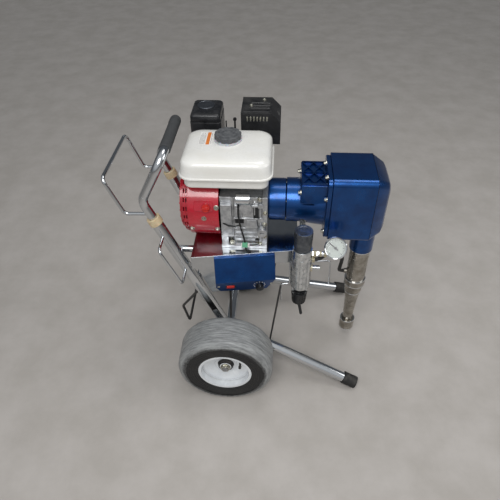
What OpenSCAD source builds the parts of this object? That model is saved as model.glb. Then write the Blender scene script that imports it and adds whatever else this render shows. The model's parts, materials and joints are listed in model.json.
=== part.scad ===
// Petrol-engine airless line striper on a two-wheel hand cart.
// Millimetres. +X points to the pump end, +Y to the operator's left, +Z up, ground at z = 0.
// The origin is on the ground, under the middle of the machine's footprint.

/* [Cart] */
// Wheel radius over the wrapped tyre
wheel_r = 145; // [140:1:150]
// Half of the wheel track, machine centre to wheel centre
wheel_y = 230; // [226:1:236]
// Half spacing of the two frame tubes
tube_y = 115; // [113:1:117]
// Outer radius of the chromed frame tubes
tube_r = 16.5; // [15.5:0.5:17]
// Backward lean of the frame tubes, degrees from upright
tube_lean = 22; // [21:0.5:23]
// Height of the top of the frame tubes
tube_top_z = 588; // [580:1:596]
// Distance from the axle to the front feet
foot_reach = 414; // [406:1:420]
// Half spacing of the front feet
foot_y = 212; // [206:1:216]

/* [Handle] */
// Outer radius of the sliding handle tube
handle_r = 12.5; // [12:0.25:13]
// Height of the handle's crossbar
crossbar_z = 788; // [780:1:796]
// Reach of the hose rack behind the axle
rack_reach = 300; // [290:1:310]

/* [Engine] */
// Height of the platform's top face
platform_z = 490; // [486:1:494]
// Height of the crankshaft above the platform
crank_rise = 106; // [106:1:107]
// Length of the fuel tank along the crankshaft
tank_length = 240; // [232:1:244]

/* [Drive and pump] */
// Distance from the axle to the nose of the drive cover
nose_reach = 437; // [436:1:440]
// Distance from the axle to the pump rod
pump_reach = 400; // [399:1:401]
// Stroke of the pump rod
stroke = 40; // [36:1:40]

/* [Hidden] */
$fn = 64;

// Running clearance on a radius, where a shaft turns or slides in a bore
fit_gap = 0.05;
// Clear gap between moving pieces that aren't a fit
air_gap = 0.5;

// The axle's x, which puts the origin half way between the rack and the nose
rack_rod_r = 5;
axle_x = (rack_reach + rack_rod_r - nose_reach) / 2;

// Wheel
axle_r = 10;
wrap_t = 1.5;
wrap_from_r = 116;
tyre_w = 112;
tyre_round = 22;
bead_r = 76;
rim_w = 105;
hub_r = 18;
hub_in = 46;
hub_out = 31;
hub_w = hub_in + hub_out;
bush_r = 14.5;

// Cart
right = -1;
left = 1;
housing_r = 17;
leg_start_z = 172;
foot_z = 18;
foot_r = 20;
platform_back = -93;
platform_front = 205;
platform_back_y = 142;
platform_front_y = 98;
plate_t = 3;
skirt_h = 45;

// Engine, all x measured from the axle
crank_z = platform_z + crank_rise;
case_x0 = -10;
case_x1 = 118;
shaft_r = 12;
tank_x = 11;
tank_seam_z = platform_z + 239;

// Drive
clutch_x0 = 121;
clutch_x1 = 168;
clutch_r = 59.5;
housing_x1 = 286;
nose_x = nose_reach;
gear_rise = 48;
gear_module = 2;
pinion_teeth = 12;
gear_teeth = 36;
cone_r0 = 62;
cone_r1 = 72;
cover_half_w = 80;
cover_half_h = 100;
cover_lift = 13;
collar_bottom_z = 425;
collar_r = 35;
pump_r = 26;
rod_r = 11;

// Filter and gauge
filter_x = 216;
filter_y = -130;
filter_r = 27;
filter_bottom_z = 386;
filter_top_z = 529;
gauge_x = 304;
gauge_z = 531;
gauge_r = 29;

// Control box, in a frame that lies along the platform's right edge
side_angle = atan((platform_back_y - platform_front_y) / (platform_front - platform_back));
box_x0 = 64;
box_w = 172;
box_top_z = platform_z - 4;
box_crease_z = platform_z - 76;
box_bottom_z = platform_z - 122;
box_crease_y = -34;
box_bottom_y = -22;

function unit(v) = v / norm(v);
function turn_at(p, i) = acos(unit(p[i] - p[i - 1]) * unit(p[i + 1] - p[i]));
function tangent(p, i, bend) =
    i == 0 || i == len(p) - 1 ? 0 : bend * tan(turn_at(p, i) / 2);
function on_tube(z) = -(z - wheel_r) * tan(tube_lean);

// Moves a piece from the axle's frame to the machine's frame
module at_axle() translate([axle_x, 0, 0]) children();

// The same piece on the right and on the left
module both_sides() for (s = [right, left]) scale_y(s) children();
module scale_y(s) if (s < 0) children(); else mirror([0, 1, 0]) children();

module in_frame(o, x, y, z) multmatrix([
    [x[0], y[0], z[0], o[0]], [x[1], y[1], z[1], o[1]], [x[2], y[2], z[2], o[2]], [0, 0, 0, 1]
]) children();

// Stands its children's Z axis along the line from p to q
module aim(p, q) {
    z = unit(q - p);
    x = unit(cross(abs(z[2]) < 0.9 ? [0, 0, 1] : [0, 1, 0], z));
    in_frame(p, x, cross(z, x), z) children();
}

module rod(p, q, r) aim(p, q) cylinder(h = norm(q - p), r = r);

// A cylinder along X or Y, from a to b
module x_cyl(a, b, r, y = 0, z = 0) translate([a, y, z]) rotate([0, 90, 0]) cylinder(h = b - a, r = r);
module y_cyl(a, b, r, x = 0, z = 0) translate([x, a, z]) rotate([-90, 0, 0]) cylinder(h = b - a, r = r);

module block(x, y, z) translate([x[0], y[0], z[0]]) cube([x[1] - x[0], y[1] - y[0], z[1] - z[0]]);

// A rod bent along the points p, with round bends a hair fatter than the straights
bend_proud = 0.05;
module bent_rod(p, r, bend) {
    for (i = [0 : len(p) - 2]) {
        d = unit(p[i + 1] - p[i]);
        lap_a = i == 0 ? 0 : 0.5;
        lap_b = i == len(p) - 2 ? 0 : 0.5;
        rod(p[i] + d * (tangent(p, i, bend) - lap_a), p[i + 1] - d * (tangent(p, i + 1, bend) - lap_b), r);
    }
    for (i = [1 : len(p) - 2]) {
        d = unit(p[i] - p[i - 1]);
        e = unit(p[i + 1] - p[i]);
        n = unit(e - (d * e) * d);
        start = p[i] - d * tangent(p, i, bend);
        in_frame(start + n * bend, -n, d, cross(-n, d))
            rotate_extrude(angle = turn_at(p, i)) translate([bend, 0]) circle(r = r + bend_proud);
    }
}

// A hose or cable swept along points, as one closed surface
module sweep(p, r, sides) {
    last = len(p) - 1;
    dirs = [for (i = [0 : last]) unit(p[min(i + 1, last)] - p[max(i - 1, 0)])];
    rings = [for (i = [0 : last])
        let (x = unit(cross([0.2, 1, 0.1], dirs[i])), y = cross(dirs[i], x))
        for (k = [0 : sides - 1]) p[i] + r * (cos(360 * k / sides) * x + sin(360 * k / sides) * y)];
    sides_f = [for (i = [0 : last - 1], k = [0 : sides - 1])
        let (a = i * sides + k, b = i * sides + (k + 1) % sides) [a, b, b + sides, a + sides]];
    polyhedron(points = rings, faces = concat([for (f = sides_f) [f[3], f[2], f[1], f[0]]],
        [[for (k = [0 : sides - 1]) k], [for (k = [sides - 1 : -1 : 0]) last * sides + k]]));
}

// Smooth points through a hand-laid route
function spline(p, steps) = [for (i = [0 : len(p) - 2], s = [0 : steps - 1])
    let (a = p[max(i - 1, 0)], b = p[i], c = p[i + 1], d = p[min(i + 2, len(p) - 1)], t = s / steps)
    0.5 * (2 * b + (c - a) * t + (2 * a - 5 * b + 4 * c - d) * t * t + (3 * b - a - 3 * c + d) * t * t * t),
    p[len(p) - 1]];

// A rectangle with round corners, centred
module round_rect(w, h, r) {
    square([w - 2 * r, h], center = true);
    square([w, h - 2 * r], center = true);
    for (x = [-1, 1], y = [-1, 1]) translate([x * (w / 2 - r), y * (h / 2 - r)]) circle(r = r);
}

// ---- Cart ----

tube_foot = [0, right * tube_y, wheel_r];
tube_head = [on_tube(tube_top_z), right * tube_y, tube_top_z];
leg_head = [on_tube(leg_start_z), right * tube_y, leg_start_z];
leg_end = [foot_reach, right * foot_y, foot_z];
leg_dir = unit(leg_end - leg_head);
leg_r = tube_r - 0.5;
sleeve_r = 14;

module frame_tubes() color("silver") at_axle() both_sides() difference() {
    rod(tube_foot, tube_head, tube_r);
    y_cyl(-200, 200, housing_r, 0, wheel_r);
    rod(tube_foot, tube_head + (tube_head - tube_foot) * 0.1, sleeve_r);
}

module front_legs() color("silver") at_axle() both_sides() difference() {
    rod(leg_head, leg_end - leg_dir * 8, leg_r);
    rod(leg_end - leg_dir * 330, leg_end, leg_r - 2);
    rod(tube_foot - (tube_head - tube_foot) * 0.1, tube_head, tube_r);
    y_cyl(-200, 200, housing_r, 0, wheel_r);
}

module rubber_feet() color("#1c1c1c") at_axle() both_sides() intersection() {
    difference() {
        rod(leg_end - leg_dir * 42, leg_end + leg_dir * 3, foot_r);
        rod(leg_end - leg_dir * 60, leg_end - leg_dir * 8, leg_r);
        rod(leg_end - leg_dir * 60, leg_end - leg_dir * 5, leg_r - 2);
    }
    block([foot_reach - 80, foot_reach + 40], [-foot_y - 50, -foot_y + 50], [0, 80]);
}

bar_z = 360;
rail_y = 90;
rail_r = 10;
rail_end = 4;
module cross_members() color("silver") at_axle() {
    difference() {
        y_cyl(-150, 150, housing_r, 0, wheel_r);
        y_cyl(-160, 160, axle_r, 0, wheel_r);
    }
    difference() {
        y_cyl(-tube_y, tube_y, rail_r, on_tube(bar_z), bar_z);
        tube_shapes();
    }
    for (s = [right, left]) difference() {
        x_cyl(on_tube(platform_z) - 6, rail_end, rail_r, s * rail_y, platform_z - plate_t - rail_r);
        tube_shapes();
    }
    y_cyl(-96, 96, 8, 160, platform_z - plate_t - 8);
}
module tube_shapes() both_sides() rod(tube_foot, tube_head, tube_r);

module axle()
    color("#8d8f92") at_axle() y_cyl(-wheel_y - hub_out - 11, wheel_y + hub_out + 11, axle_r, 0, wheel_r);

module axle_nuts() color("#c9ccd0") at_axle() both_sides() difference() {
    union() {
        y_cyl(-wheel_y - hub_out - 3, -wheel_y - hub_out - 1, 16, 0, wheel_r);
        translate([0, -wheel_y - hub_out - 2.5, wheel_r]) rotate([90, 0, 0])
            cylinder(h = 7, r = 14, $fn = 6);
        y_cyl(-wheel_y + hub_in + 1, -150, 15, 0, wheel_r);
    }
    y_cyl(-300, 0, axle_r, 0, wheel_r);
}

module handle_collars() color("#cdbb98") at_axle() both_sides() difference() {
    d = unit(tube_head - tube_foot);
    rod(tube_head, tube_head + d * 22, 19);
    rod(tube_head - d * 5, tube_head + d * 40, handle_r + fit_gap);
}

// Sheet tray with folded sides; the rear of each side runs down along the frame tube
function edge_y(x) = platform_back_y
    - (x - platform_back) * (platform_back_y - platform_front_y) / (platform_front - platform_back);
module tray_outline(inset) polygon([
    [platform_back + inset, -platform_back_y + inset], [platform_front - inset, -platform_front_y + inset],
    [platform_front - inset, platform_front_y - inset], [platform_back + inset, platform_back_y - inset]
]);
bolt_x = [18, 93.5];
bolt_y = 81;
bolt_r = 4;
module platform() color("#b9bcc0") at_axle() {
    difference() {
        translate([0, 0, platform_z - skirt_h]) linear_extrude(skirt_h) tray_outline(0);
        translate([0, 0, platform_z - skirt_h - 1])
            linear_extrude(skirt_h + 1 - plate_t) tray_outline(plate_t);
        for (x = bolt_x, y = [-bolt_y, bolt_y]) translate([x, y, platform_z - 10])
            cylinder(h = 20, r = bolt_r);
        block([platform_back - 5, platform_back + 5], [-105, 105],
            [platform_z - skirt_h - 1, platform_z - plate_t]);
    }
    both_sides() side_frame() translate([0, 0, platform_z - skirt_h]) rotate([-90, 0, 0])
        linear_extrude(plate_t) polygon([[16, 0], [90, 0], [74, 100], [50, 100]]);
}
// x along the tray's right edge from its rear corner, y inwards from the edge
module side_frame() translate([platform_back, -platform_back_y, 0]) rotate([0, 0, side_angle]) children();

hook_r = 4;
hook_rows = [552, 430];
hook_y = 188;
module wire_hooks() color("silver") at_axle() {
    difference() {
        bent_rod([for (p = [[0, tube_y], [0, hook_y], [1, hook_y], [1, tube_y]])
            [on_tube(hook_rows[p[0]]), -p[1], hook_rows[p[0]]]], hook_r, 14);
        tube_shapes();
    }
    both_sides() bent_rod([[186, -101.5, platform_z - skirt_h], [186, -116, 374], [161, -116, 370],
        [164, -116, 302]], 2.5, 6);
    difference() {
        bent_rod([[250, 176, 60], [250, 182, 181], [346, 192, 181], [352, 194, 30]], 3, 14);
        both_sides() rod(leg_head, leg_end, leg_r);
    }
}

module rear_hook_rod() color("#4a4a4a") at_axle() difference() {
    bent_rod([[on_tube(342), -tube_y, 342], [-144, -tube_y, 255], [-129, -tube_y, 184],
        [-129, tube_y, 184], [-144, tube_y, 255], [on_tube(342), tube_y, 342]], hook_r, 12);
    tube_shapes();
}

strut_y = 74;
module brace_rods() color("#2b2b2b") at_axle() both_sides() {
    difference() {
        rod([161, -118, 366], [131, -146, 120], 3);
        rod(leg_head, leg_end, leg_r);
    }
    difference() {
        rod([10, -strut_y, platform_z], [0, -strut_y, wheel_r], 4);
        y_cyl(-200, 200, housing_r, 0, wheel_r);
        block([-40, 60], [-strut_y - 9, -strut_y + 9], [platform_z - plate_t, platform_z + 9]);
    }
}

module engine_bolts()
    color("#c2a24a") at_axle() for (x = bolt_x, y = [-bolt_y, bolt_y]) translate([x, y, 0]) {
    translate([0, 0, platform_z + 10]) cylinder(h = 7, r = 7.5, $fn = 6);
    translate([0, 0, platform_z - 14]) cylinder(h = 24.5, r = bolt_r);
    translate([0, 0, platform_z - plate_t - 7]) cylinder(h = 7, r = 7.5, $fn = 6);
}

// ---- Wheels, drawn with the axle along Z and the outer face up, then set in place ----

module wheel_place(side)
    at_axle() translate([0, side * wheel_y, wheel_r]) rotate([side < 0 ? 90 : -90, 0, 0]) children();

module tyre_section(grow) translate([(wheel_r - wrap_t + bead_r) / 2, 0])
    round_rect(wheel_r - wrap_t - bead_r + 2 * grow, tyre_w + 2 * grow, tyre_round + grow);

module tyre(side) color("#1a1a1a") wheel_place(side) rotate_extrude() difference() {
    tyre_section(0);
    tyre_section(-8);
    translate([bead_r - 5, -30]) square([20, 60]);
}

// Stretch film wound over the tread and shoulders
module tyre_wrap(side) color("#b5b8b6") wheel_place(side) rotate_extrude() difference() {
    tyre_section(wrap_t);
    tyre_section(0);
    translate([0, -100]) square([wrap_from_r, 200]);
}

module rim(side) color("#f1f1ee") wheel_place(side) {
    rotate_extrude() union() {
        difference() {
            translate([bead_r - 6, -rim_w / 2]) square([6, rim_w]);
            translate([bead_r - 9, -rim_w / 2 - 1]) square([6, rim_w + 2]);
        }
        for (y = [-1, 1]) translate([bead_r - 3, y * (rim_w / 2 - 1.5) - 1.5]) square([9, 3]);
        polygon([[hub_r - 1, 16], [hub_r - 1, 19], [34, 19], [52, 28], [bead_r - 2.5, 30],
            [bead_r - 2.5, 27], [53, 25], [35, 16]]);
    }
    difference() {
        translate([0, 0, -hub_in]) cylinder(h = hub_w, r = hub_r);
        translate([0, 0, -hub_in - 1]) cylinder(h = hub_w + 2, r = bush_r);
    }
}

module bushes(side) color("#9a8b6a") wheel_place(side) for (z = [-hub_in, hub_out - 24]) difference() {
    translate([0, 0, z]) cylinder(h = 24, r = bush_r);
    translate([0, 0, z - 1]) cylinder(h = 26, r = axle_r + fit_gap);
}

// ---- Handle ----

bend_z = 661;
bend_x = on_tube(bend_z);
crossbar_x = -140;
handle_path = [
    [on_tube(330), -tube_y, 330], [bend_x, -tube_y, bend_z], [crossbar_x, -tube_y, crossbar_z],
    [crossbar_x, tube_y, crossbar_z], [bend_x, tube_y, bend_z], [on_tube(330), tube_y, 330]
];
handle_bend = 42;

module handle_tube() color("silver") at_axle() difference() {
    bent_rod(handle_path, handle_r, handle_bend);
    handle_bore();
}
module handle_bore() {
    d = unit(handle_path[1] - handle_path[0]);
    ends = [handle_path[0] - d * 3, handle_path[5] - mirror_y(d) * 3];
    bent_rod([ends[0], for (i = [1 : 4]) handle_path[i], ends[1]], handle_r - 2, handle_bend);
}
function mirror_y(v) = [v[0], -v[1], v[2]];

grip_y = -72;
module handle_grip() color("#3a3b3c") at_axle() difference() {
    y_cyl(grip_y, tube_y - handle_bend - 1, 15.5, crossbar_x, crossbar_z);
    y_cyl(-tube_y, tube_y, handle_r, crossbar_x, crossbar_z);
}

rack_z = 618;
module hose_rack() color("silver") at_axle() difference() {
    bent_rod([[on_tube(rack_z) + 2, -tube_y, rack_z + 2], [-261, -tube_y, rack_z],
        [-rack_reach, -tube_y, 726],
        [-rack_reach, tube_y, 726], [-261, tube_y, rack_z], [on_tube(rack_z) + 2, tube_y, rack_z + 2]],
        rack_rod_r, 16);
    both_sides() rod(handle_path[0], handle_path[1], handle_r);
}

// ---- Engine ----

module crankcase() color("#a9abae") at_axle() difference() {
    union() {
        block([case_x0, case_x1 - 14], [-84, 62], [platform_z, platform_z + 168]);
        block([case_x1 - 14, case_x1], [-90, 66], [platform_z, platform_z + 172]);
        block([case_x0, case_x1], [-95, 95], [platform_z, platform_z + 10]);
        for (z = [34, 62, 96]) block([case_x0, case_x1], [-87, -80], [platform_z + z, platform_z + z + 5]);
        for (x = [22, 92]) block([x, x + 5], [-87, -80], [platform_z + 8, platform_z + 168]);
        y_cyl(-99, -80, 17, 60, platform_z + 142);
        y_cyl(-96, -80, 11, 104, platform_z + 66);
        block([case_x0 + 2, 22], [-96, -80], [platform_z + 70, platform_z + 150]);
    }
    x_cyl(case_x0 + 8, case_x1 - 16, 50, 0, crank_z);
    x_cyl(case_x0 - 1, case_x1 + 1, shaft_r + fit_gap, 0, crank_z);
    y_cyl(-120, -78, 7, 104, platform_z + 66);
    for (x = bolt_x, y = [-bolt_y, bolt_y]) translate([x, y, platform_z - 1]) cylinder(h = 30, r = bolt_r);
    for (x = bolt_x, y = [-bolt_y, bolt_y]) translate([x, y, platform_z + 10]) cylinder(h = 24, r = 9);
    cylinder_axis() translate([-55, -50, 70]) cube([110, 100, 80]);
}

// The cylinder leans up to the left at 25 degrees from level
cylinder_rise = 25;
module cylinder_axis() translate([50, 0, crank_z]) rotate([cylinder_rise - 90, 0, 0]) children();

head_top_z = 704;
module cylinder_head() color("#9c9ea1") at_axle() difference() {
    cylinder_axis() difference() {
        union() {
            translate([0, 0, 70]) cylinder(h = 88, r = 40);
            for (z = [74 : 9 : 147]) translate([-52, -46, z]) cube([104, 92, 3]);
            translate([-50, -48, 156]) cube([100, 96, 22]);
            translate([-46, -42, 178]) cube([92, 84, 34]);
            translate([-40, -36, 212]) cube([80, 72, 6]);
        }
        translate([0, 0, 60]) cylinder(h = 96, r = 34);
        translate([30, plug_y, 168]) rotate([-90, 0, 0]) cylinder(h = 30, r = 7);
    }
    block([-20, 130], [0, 260], [head_top_z, head_top_z + 100]);
}

plug_y = 30;
module spark_plug()
    color("#202020") at_axle() cylinder_axis() translate([30, plug_y, 168]) rotate([-90, 0, 0]) {
    cylinder(h = 18, r = 7);
    translate([0, 0, 18]) cylinder(h = 5, r = 10.5, $fn = 6);
    translate([0, 0, 23]) cylinder(h = 26, r = 8.5);
}

shroud_x0 = -96;
shroud_r = 103;
switch_rise = 20;
// On the shroud's right side, Z straight out of it
module at_switch()
    translate([-45, 0, crank_z]) rotate([90 - switch_rise, 0, 0]) translate([0, 0, shroud_r]) children();

module shroud_outline(r, w) {
    circle(r = r);
    rotate(cylinder_rise) translate([0, -w]) square([138 + r - shroud_r, 2 * w]);
}
// Drawn in the crank's plane: outline x is +Y, outline y is +Z
module crank_plane(x0, x1)
    translate([x0, 0, crank_z]) rotate([90, 0, 90]) linear_extrude(x1 - x0) children();

module fan_shroud() color("#b5132a") at_axle() difference() {
    union() {
        crank_plane(shroud_x0, case_x0 - 2) shroud_outline(shroud_r, 50);
        at_switch() translate([0, 0, -8]) cylinder(h = 11, r = 13);
    }
    crank_plane(shroud_x0 + 3, case_x0 + 5) shroud_outline(shroud_r - 3, 47);
    crank_plane(shroud_x0 - 1, shroud_x0 + 5) circle(r = 70);
    translate([0, 0, tank_seam_z - 38]) block([-120, 10], [-120, 86], [0, 100]);
    block([shroud_x0 - 5, case_x0 + 5], [-150, 200], [0, platform_z + 0.5]);
    at_switch() translate([0, 0, -10]) cylinder(h = 20, r = 4 + fit_gap);
}

recoil_x0 = -128;
recoil_r = 95;
starter_x = -107;
starter_angle = 55;
module recoil_cover() color("#c01a31") at_axle() difference() {
    union() {
        x_cyl(recoil_x0 + 18, shroud_x0, recoil_r, 0, crank_z);
        x_cyl(recoil_x0 + 9, recoil_x0 + 18, recoil_r - 10, 0, crank_z);
        x_cyl(recoil_x0, recoil_x0 + 9, 30, 0, crank_z);
        rotate_about_crank(starter_angle) translate([starter_x, 0, 80]) cylinder(h = 22, r = 10);
    }
    x_cyl(recoil_x0 + 21, shroud_x0 + 1, recoil_r - 4, 0, crank_z);
    x_cyl(recoil_x0 + 12, recoil_x0 + 22, recoil_r - 14, 0, crank_z);
    for (a = [0 : 15 : 345]) rotate_about_crank(a) {
        translate([recoil_x0 + 20, -6, recoil_r - 6]) cube([9, 12, 10]);
        translate([recoil_x0 + 5, -2.5, 45]) cube([10, 5, 30]);
    }
    rotate_about_crank(starter_angle) translate([starter_x, 0, 20]) cylinder(h = 90, r = cord_r + 0.4);
    translate([0, 0, tank_seam_z - 34]) block([-110, 10], [-120, 86], [0, 100]);
}
module rotate_about_crank(a) translate([0, 0, crank_z]) rotate([-a, 0, 0]) children();

cord_r = 2;
module starter_grip()
    color("#222222") at_axle() rotate_about_crank(starter_angle) translate([starter_x, 0, 0]) {
    translate([0, 0, 30]) cylinder(h = 84, r = cord_r);
    translate([-8, -15, 106]) cube([16, 30, 14]);
}

module flywheel() color("#6f7275") at_axle() difference() {
    union() {
        x_cyl(-84, -62, 82, 0, crank_z);
        for (a = [0 : 30 : 330]) rotate_about_crank(a) translate([-92, -2, 35]) cube([8.5, 4, 42]);
    }
    x_cyl(-100, -50, shaft_r, 0, crank_z);
}

web_x = 42;
module crankshaft() color("#8b8e92") at_axle() {
    x_cyl(-90, web_x - 18, shaft_r, 0, crank_z);
    x_cyl(web_x + 20, clutch_x0 + 5, shaft_r, 0, crank_z);
    for (x = [web_x - 18, web_x + 10]) x_cyl(x, x + 10, 38, 0, crank_z);
    x_cyl(web_x - 10, web_x + 12, 9, 0, crank_z + 24);
}

tank_w = 196;
tank_y = -16;
tank_corner = 34;
module tank_slab(z, h, shrink, r) translate([tank_x, tank_y, z]) linear_extrude(h)
    round_rect(tank_length - 2 * shrink, tank_w - 2 * shrink, r);
module fuel_tank() color("#ecebe6") at_axle() difference() {
    union() {
        tank_slab(tank_seam_z - 33, 33, 11, 26);
        tank_slab(tank_seam_z - 3, 6, 0, tank_corner);
        hull() {
            tank_slab(tank_seam_z + 3, 2, 2, tank_corner, $fn = 40);
            tank_slab(tank_seam_z + 32, 2, 6, tank_corner, $fn = 40);
            tank_slab(tank_seam_z + 42, 2, 13, tank_corner - 2, $fn = 40);
            tank_slab(tank_seam_z + 46, 2, 26, tank_corner - 8, $fn = 40);
        }
        translate([tank_x, cap_y, tank_seam_z + 40]) cylinder(h = 14.5, r = 36);
    }
    translate([tank_x, cap_y, tank_seam_z + 20]) cylinder(h = 60, r = 19);
}
cap_y = 4;
cap_z = tank_seam_z + 55;
module fuel_cap() color("#4b4d50") at_axle() translate([tank_x, cap_y, 0]) {
    translate([0, 0, cap_z]) difference() {
        cylinder(h = 12, r = 35);
        for (a = [0 : 30 : 330]) rotate(a) translate([38.5, 0, -1]) cylinder(h = 20, r = 6);
    }
    translate([0, 0, cap_z - 20]) cylinder(h = 20.5, r = 18);
}

air_x = [-106, -20];
air_y = [103, 207];
air_bottom_z = 707;
air_top_z = 795;
module air_cleaner() color("#202124") at_axle() {
    difference() {
        union() {
            block(air_x, air_y, [air_bottom_z, 772]);
            block([air_x[0] + 3, air_x[1] - 3], [air_y[0] + 3, air_y[1] - 3], [764, air_top_z]);
        }
        block([air_x[0] + 4, air_x[1] - 4], [air_y[0] + 4, air_y[1] - 4], [air_bottom_z + 4, 766]);
    }
    translate([(air_x[0] + air_x[1]) / 2, 168, air_top_z - 0.1]) cylinder(h = 6, r = 22);
}

guard_x = [36, 146];
guard_y = [110, 212];
guard_top_z = 800;
module muffler() color("#1e1f21") at_axle() {
    guard();
    x_cyl(guard_x[0] + 3, guard_x[1] - 3, 34, (guard_y[0] + guard_y[1]) / 2, 752);
}
module guard() difference() {
    guard_block(0, 706);
    guard_block(3, 690);
    for (x = [52 : 9 : 106]) block([x, x + 4], [guard_y[0] - 1, guard_y[0] + 4], [776, 789]);
    for (y = [130, 146]) block([66, 112], [y, y + 4], [guard_top_z - 4, guard_top_z + 1]);
    for (y = [130 : 16 : 194]) block([guard_x[1] - 4, guard_x[1] + 1], [y, y + 6], [724, 764]);
}
// The guard's outside, or its inside when set in by the sheet's thickness
guard_chamfer = 26;
module guard_block(inset, z0) translate([0, guard_y[1] - inset, 0]) rotate([90, 0, 0])
    linear_extrude(guard_y[1] - guard_y[0] - 2 * inset) polygon([
        [guard_x[0] + inset, z0], [guard_x[1] - inset, z0],
        [guard_x[1] - inset, guard_top_z - guard_chamfer - 0.41 * inset],
        [guard_x[1] - guard_chamfer - 0.41 * inset, guard_top_z - inset],
            [guard_x[0] + inset, guard_top_z - inset]]);

lever_z = head_top_z + 3;
throttle_pin = [18, 140];
choke_pin = [-8, 150];
module carburettor() color("#8f9194") at_axle() {
    block([-42, -6], [150, 190], [650, head_top_z]);
    y_cyl(156, 184, 15, -24, 650);
    block([-42, 34], [128, 168], [head_top_z, lever_z]);
    for (pin = [throttle_pin, choke_pin]) translate([pin[0], pin[1], lever_z - 1]) cylinder(h = 13, r = 3);
}

// A lever on an upright pin, with a tall thin arm
module pin_lever(pin, top_z, arm_w) {
    difference() {
        translate([pin[0], pin[1], lever_z + air_gap]) union() {
            cylinder(h = 6, r = 7);
            translate([-3.5, -14, 0]) cube([7, 14, 3]);
        }
        translate([pin[0], pin[1], lever_z]) cylinder(h = 20, r = 3 + fit_gap);
    }
    block([pin[0] - arm_w / 2, pin[0] + arm_w / 2], [pin[1] - 17, pin[1] - 13.9],
        [lever_z + air_gap, top_z]);
}

module throttle_lever() color("#1d1d1d") at_axle() {
    pin_lever(throttle_pin, 772, 5);
    y_cyl(throttle_pin[1] - 18, throttle_pin[1] - 13, 5, throttle_pin[0], 774);
}

module choke_lever() color("#1d1d1d") at_axle() pin_lever(choke_pin, 764, 3.5);

module engine_switch() color("#1b1b1b") at_axle() at_switch() {
    translate([0, 0, -6]) cylinder(h = 11, r = 4);
    translate([0, 0, 3 + air_gap]) cylinder(h = 4, r = 11);
    translate([-10, -2.5, 7]) cube([20, 5, 6]);
}

module oil_cap() color("#c4c6c8") at_axle() difference() {
    union() {
        y_cyl(-108, -96 - 0.3, 13, 104, platform_z + 66);
        y_cyl(-97, -84, 7 - fit_gap, 104, platform_z + 66);
    }
    block([98, 110], [-110, -105], [platform_z + 64, platform_z + 68]);
}

cable_route = [[40, -88, 645], [40, -96, 620], [41, -98, 596], [48, -100, 560], [55, -103, 530],
    [58, -106, 512], [60, -112, 500], [66, -114, 494], [74, -112, 493]];
module sensor_cable() color("#1a1a1a") at_axle() sweep(spline(cable_route, 3), 2.5, 8);

// ---- Drive ----

module clutch_housing() color("#17468c") at_axle() difference() {
    union() {
        x_cyl(clutch_x0, clutch_x1 - 2, clutch_r, 0, crank_z);
        x_cyl(case_x1, clutch_x0, clutch_r - 4, 0, crank_z);
        x_cyl(clutch_x1 - 2, clutch_x1, clutch_r - 2, 0, crank_z);
    }
    x_cyl(clutch_x0 + 4, clutch_x1 + 1, clutch_r - 5, 0, crank_z);
    x_cyl(case_x1 - 1, clutch_x0 + 5, 30, 0, crank_z);
}

cone_x0 = 204;
module housing_cone(x) translate([x, 0, crank_z]) rotate([0, 90, 0])
    cylinder(h = housing_x1 - cone_x0, r1 = cone_r0, r2 = cone_r1);
module drive_housing() color("#143e80") at_axle() difference() {
    union() {
        x_cyl(clutch_x1, cone_x0, cone_r0, 0, crank_z);
        housing_cone(cone_x0);
        crank_plane(cone_x0 + 2, housing_x1) translate([-60, 30]) square([120, 56]);
        crank_plane(housing_x1 - 12, housing_x1) cover_outline(-5);
    }
    x_cyl(clutch_x1 - 1, 250, 48, 0, crank_z);
    x_cyl(249, housing_x1 + 1, 24, 0, crank_z);
}

// Round-cornered section of the drive cover
module cover_outline(grow) translate([0, cover_lift])
    round_rect(2 * (cover_half_w + grow), 2 * (cover_half_h + grow), 18);

module front_cover() color("#153f84") at_axle() difference() {
    union() {
        crank_plane(housing_x1, nose_x - 36) cover_outline(0);
        hull() {
            crank_plane(nose_x - 37, nose_x - 36) cover_outline(-0.6, $fn = 32);
            crank_plane(nose_x - 8, nose_x - 7) cover_outline(-16, $fn = 32);
            crank_plane(nose_x - 1, nose_x) cover_outline(-26, $fn = 32);
        }
        translate([pump_reach, 0, collar_bottom_z]) cylinder(h = 120, r = collar_r);
    }
    crank_plane(housing_x1 - 1, nose_x - 40) cover_outline(-6);
    x_cyl(nose_x - 41, nose_x - 12, 60, 0, crank_z + gear_rise - 18);
    translate([pump_reach, 0, collar_bottom_z + 6]) cylinder(h = 146, r = collar_r - 5.5);
    translate([pump_reach, 0, collar_bottom_z - 1]) cylinder(h = 10, r = pump_r);
}

// Straight-flanked gear teeth on a disc, drawn in the crank's plane
function polar(r, a) = [r * cos(a), r * sin(a)];
module gear_outline(teeth, turn) {
    rp = teeth * gear_module / 2;
    pitch = 360 / teeth;
    polygon([for (i = [0 : teeth - 1]) let (a = i * pitch + turn) each [
        polar(rp - 1.25 * gear_module, a - 0.29 * pitch), polar(rp, a - 0.22 * pitch),
        polar(rp + 0.9 * gear_module, a - 0.1 * pitch), polar(rp + 0.9 * gear_module, a + 0.1 * pitch),
        polar(rp, a + 0.22 * pitch), polar(rp - 1.25 * gear_module, a + 0.29 * pitch)
    ]]);
}
mesh_x = [292, 312];

module pinion() color("#7d8084") at_axle() {
    x_cyl(clutch_x0 + 10, clutch_x0 + 34, 50, 0, crank_z);
    x_cyl(clutch_x0 + 5, mesh_x[0], 9, 0, crank_z);
    crank_plane(mesh_x[0], mesh_x[1]) gear_outline(pinion_teeth, 90);
}

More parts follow.
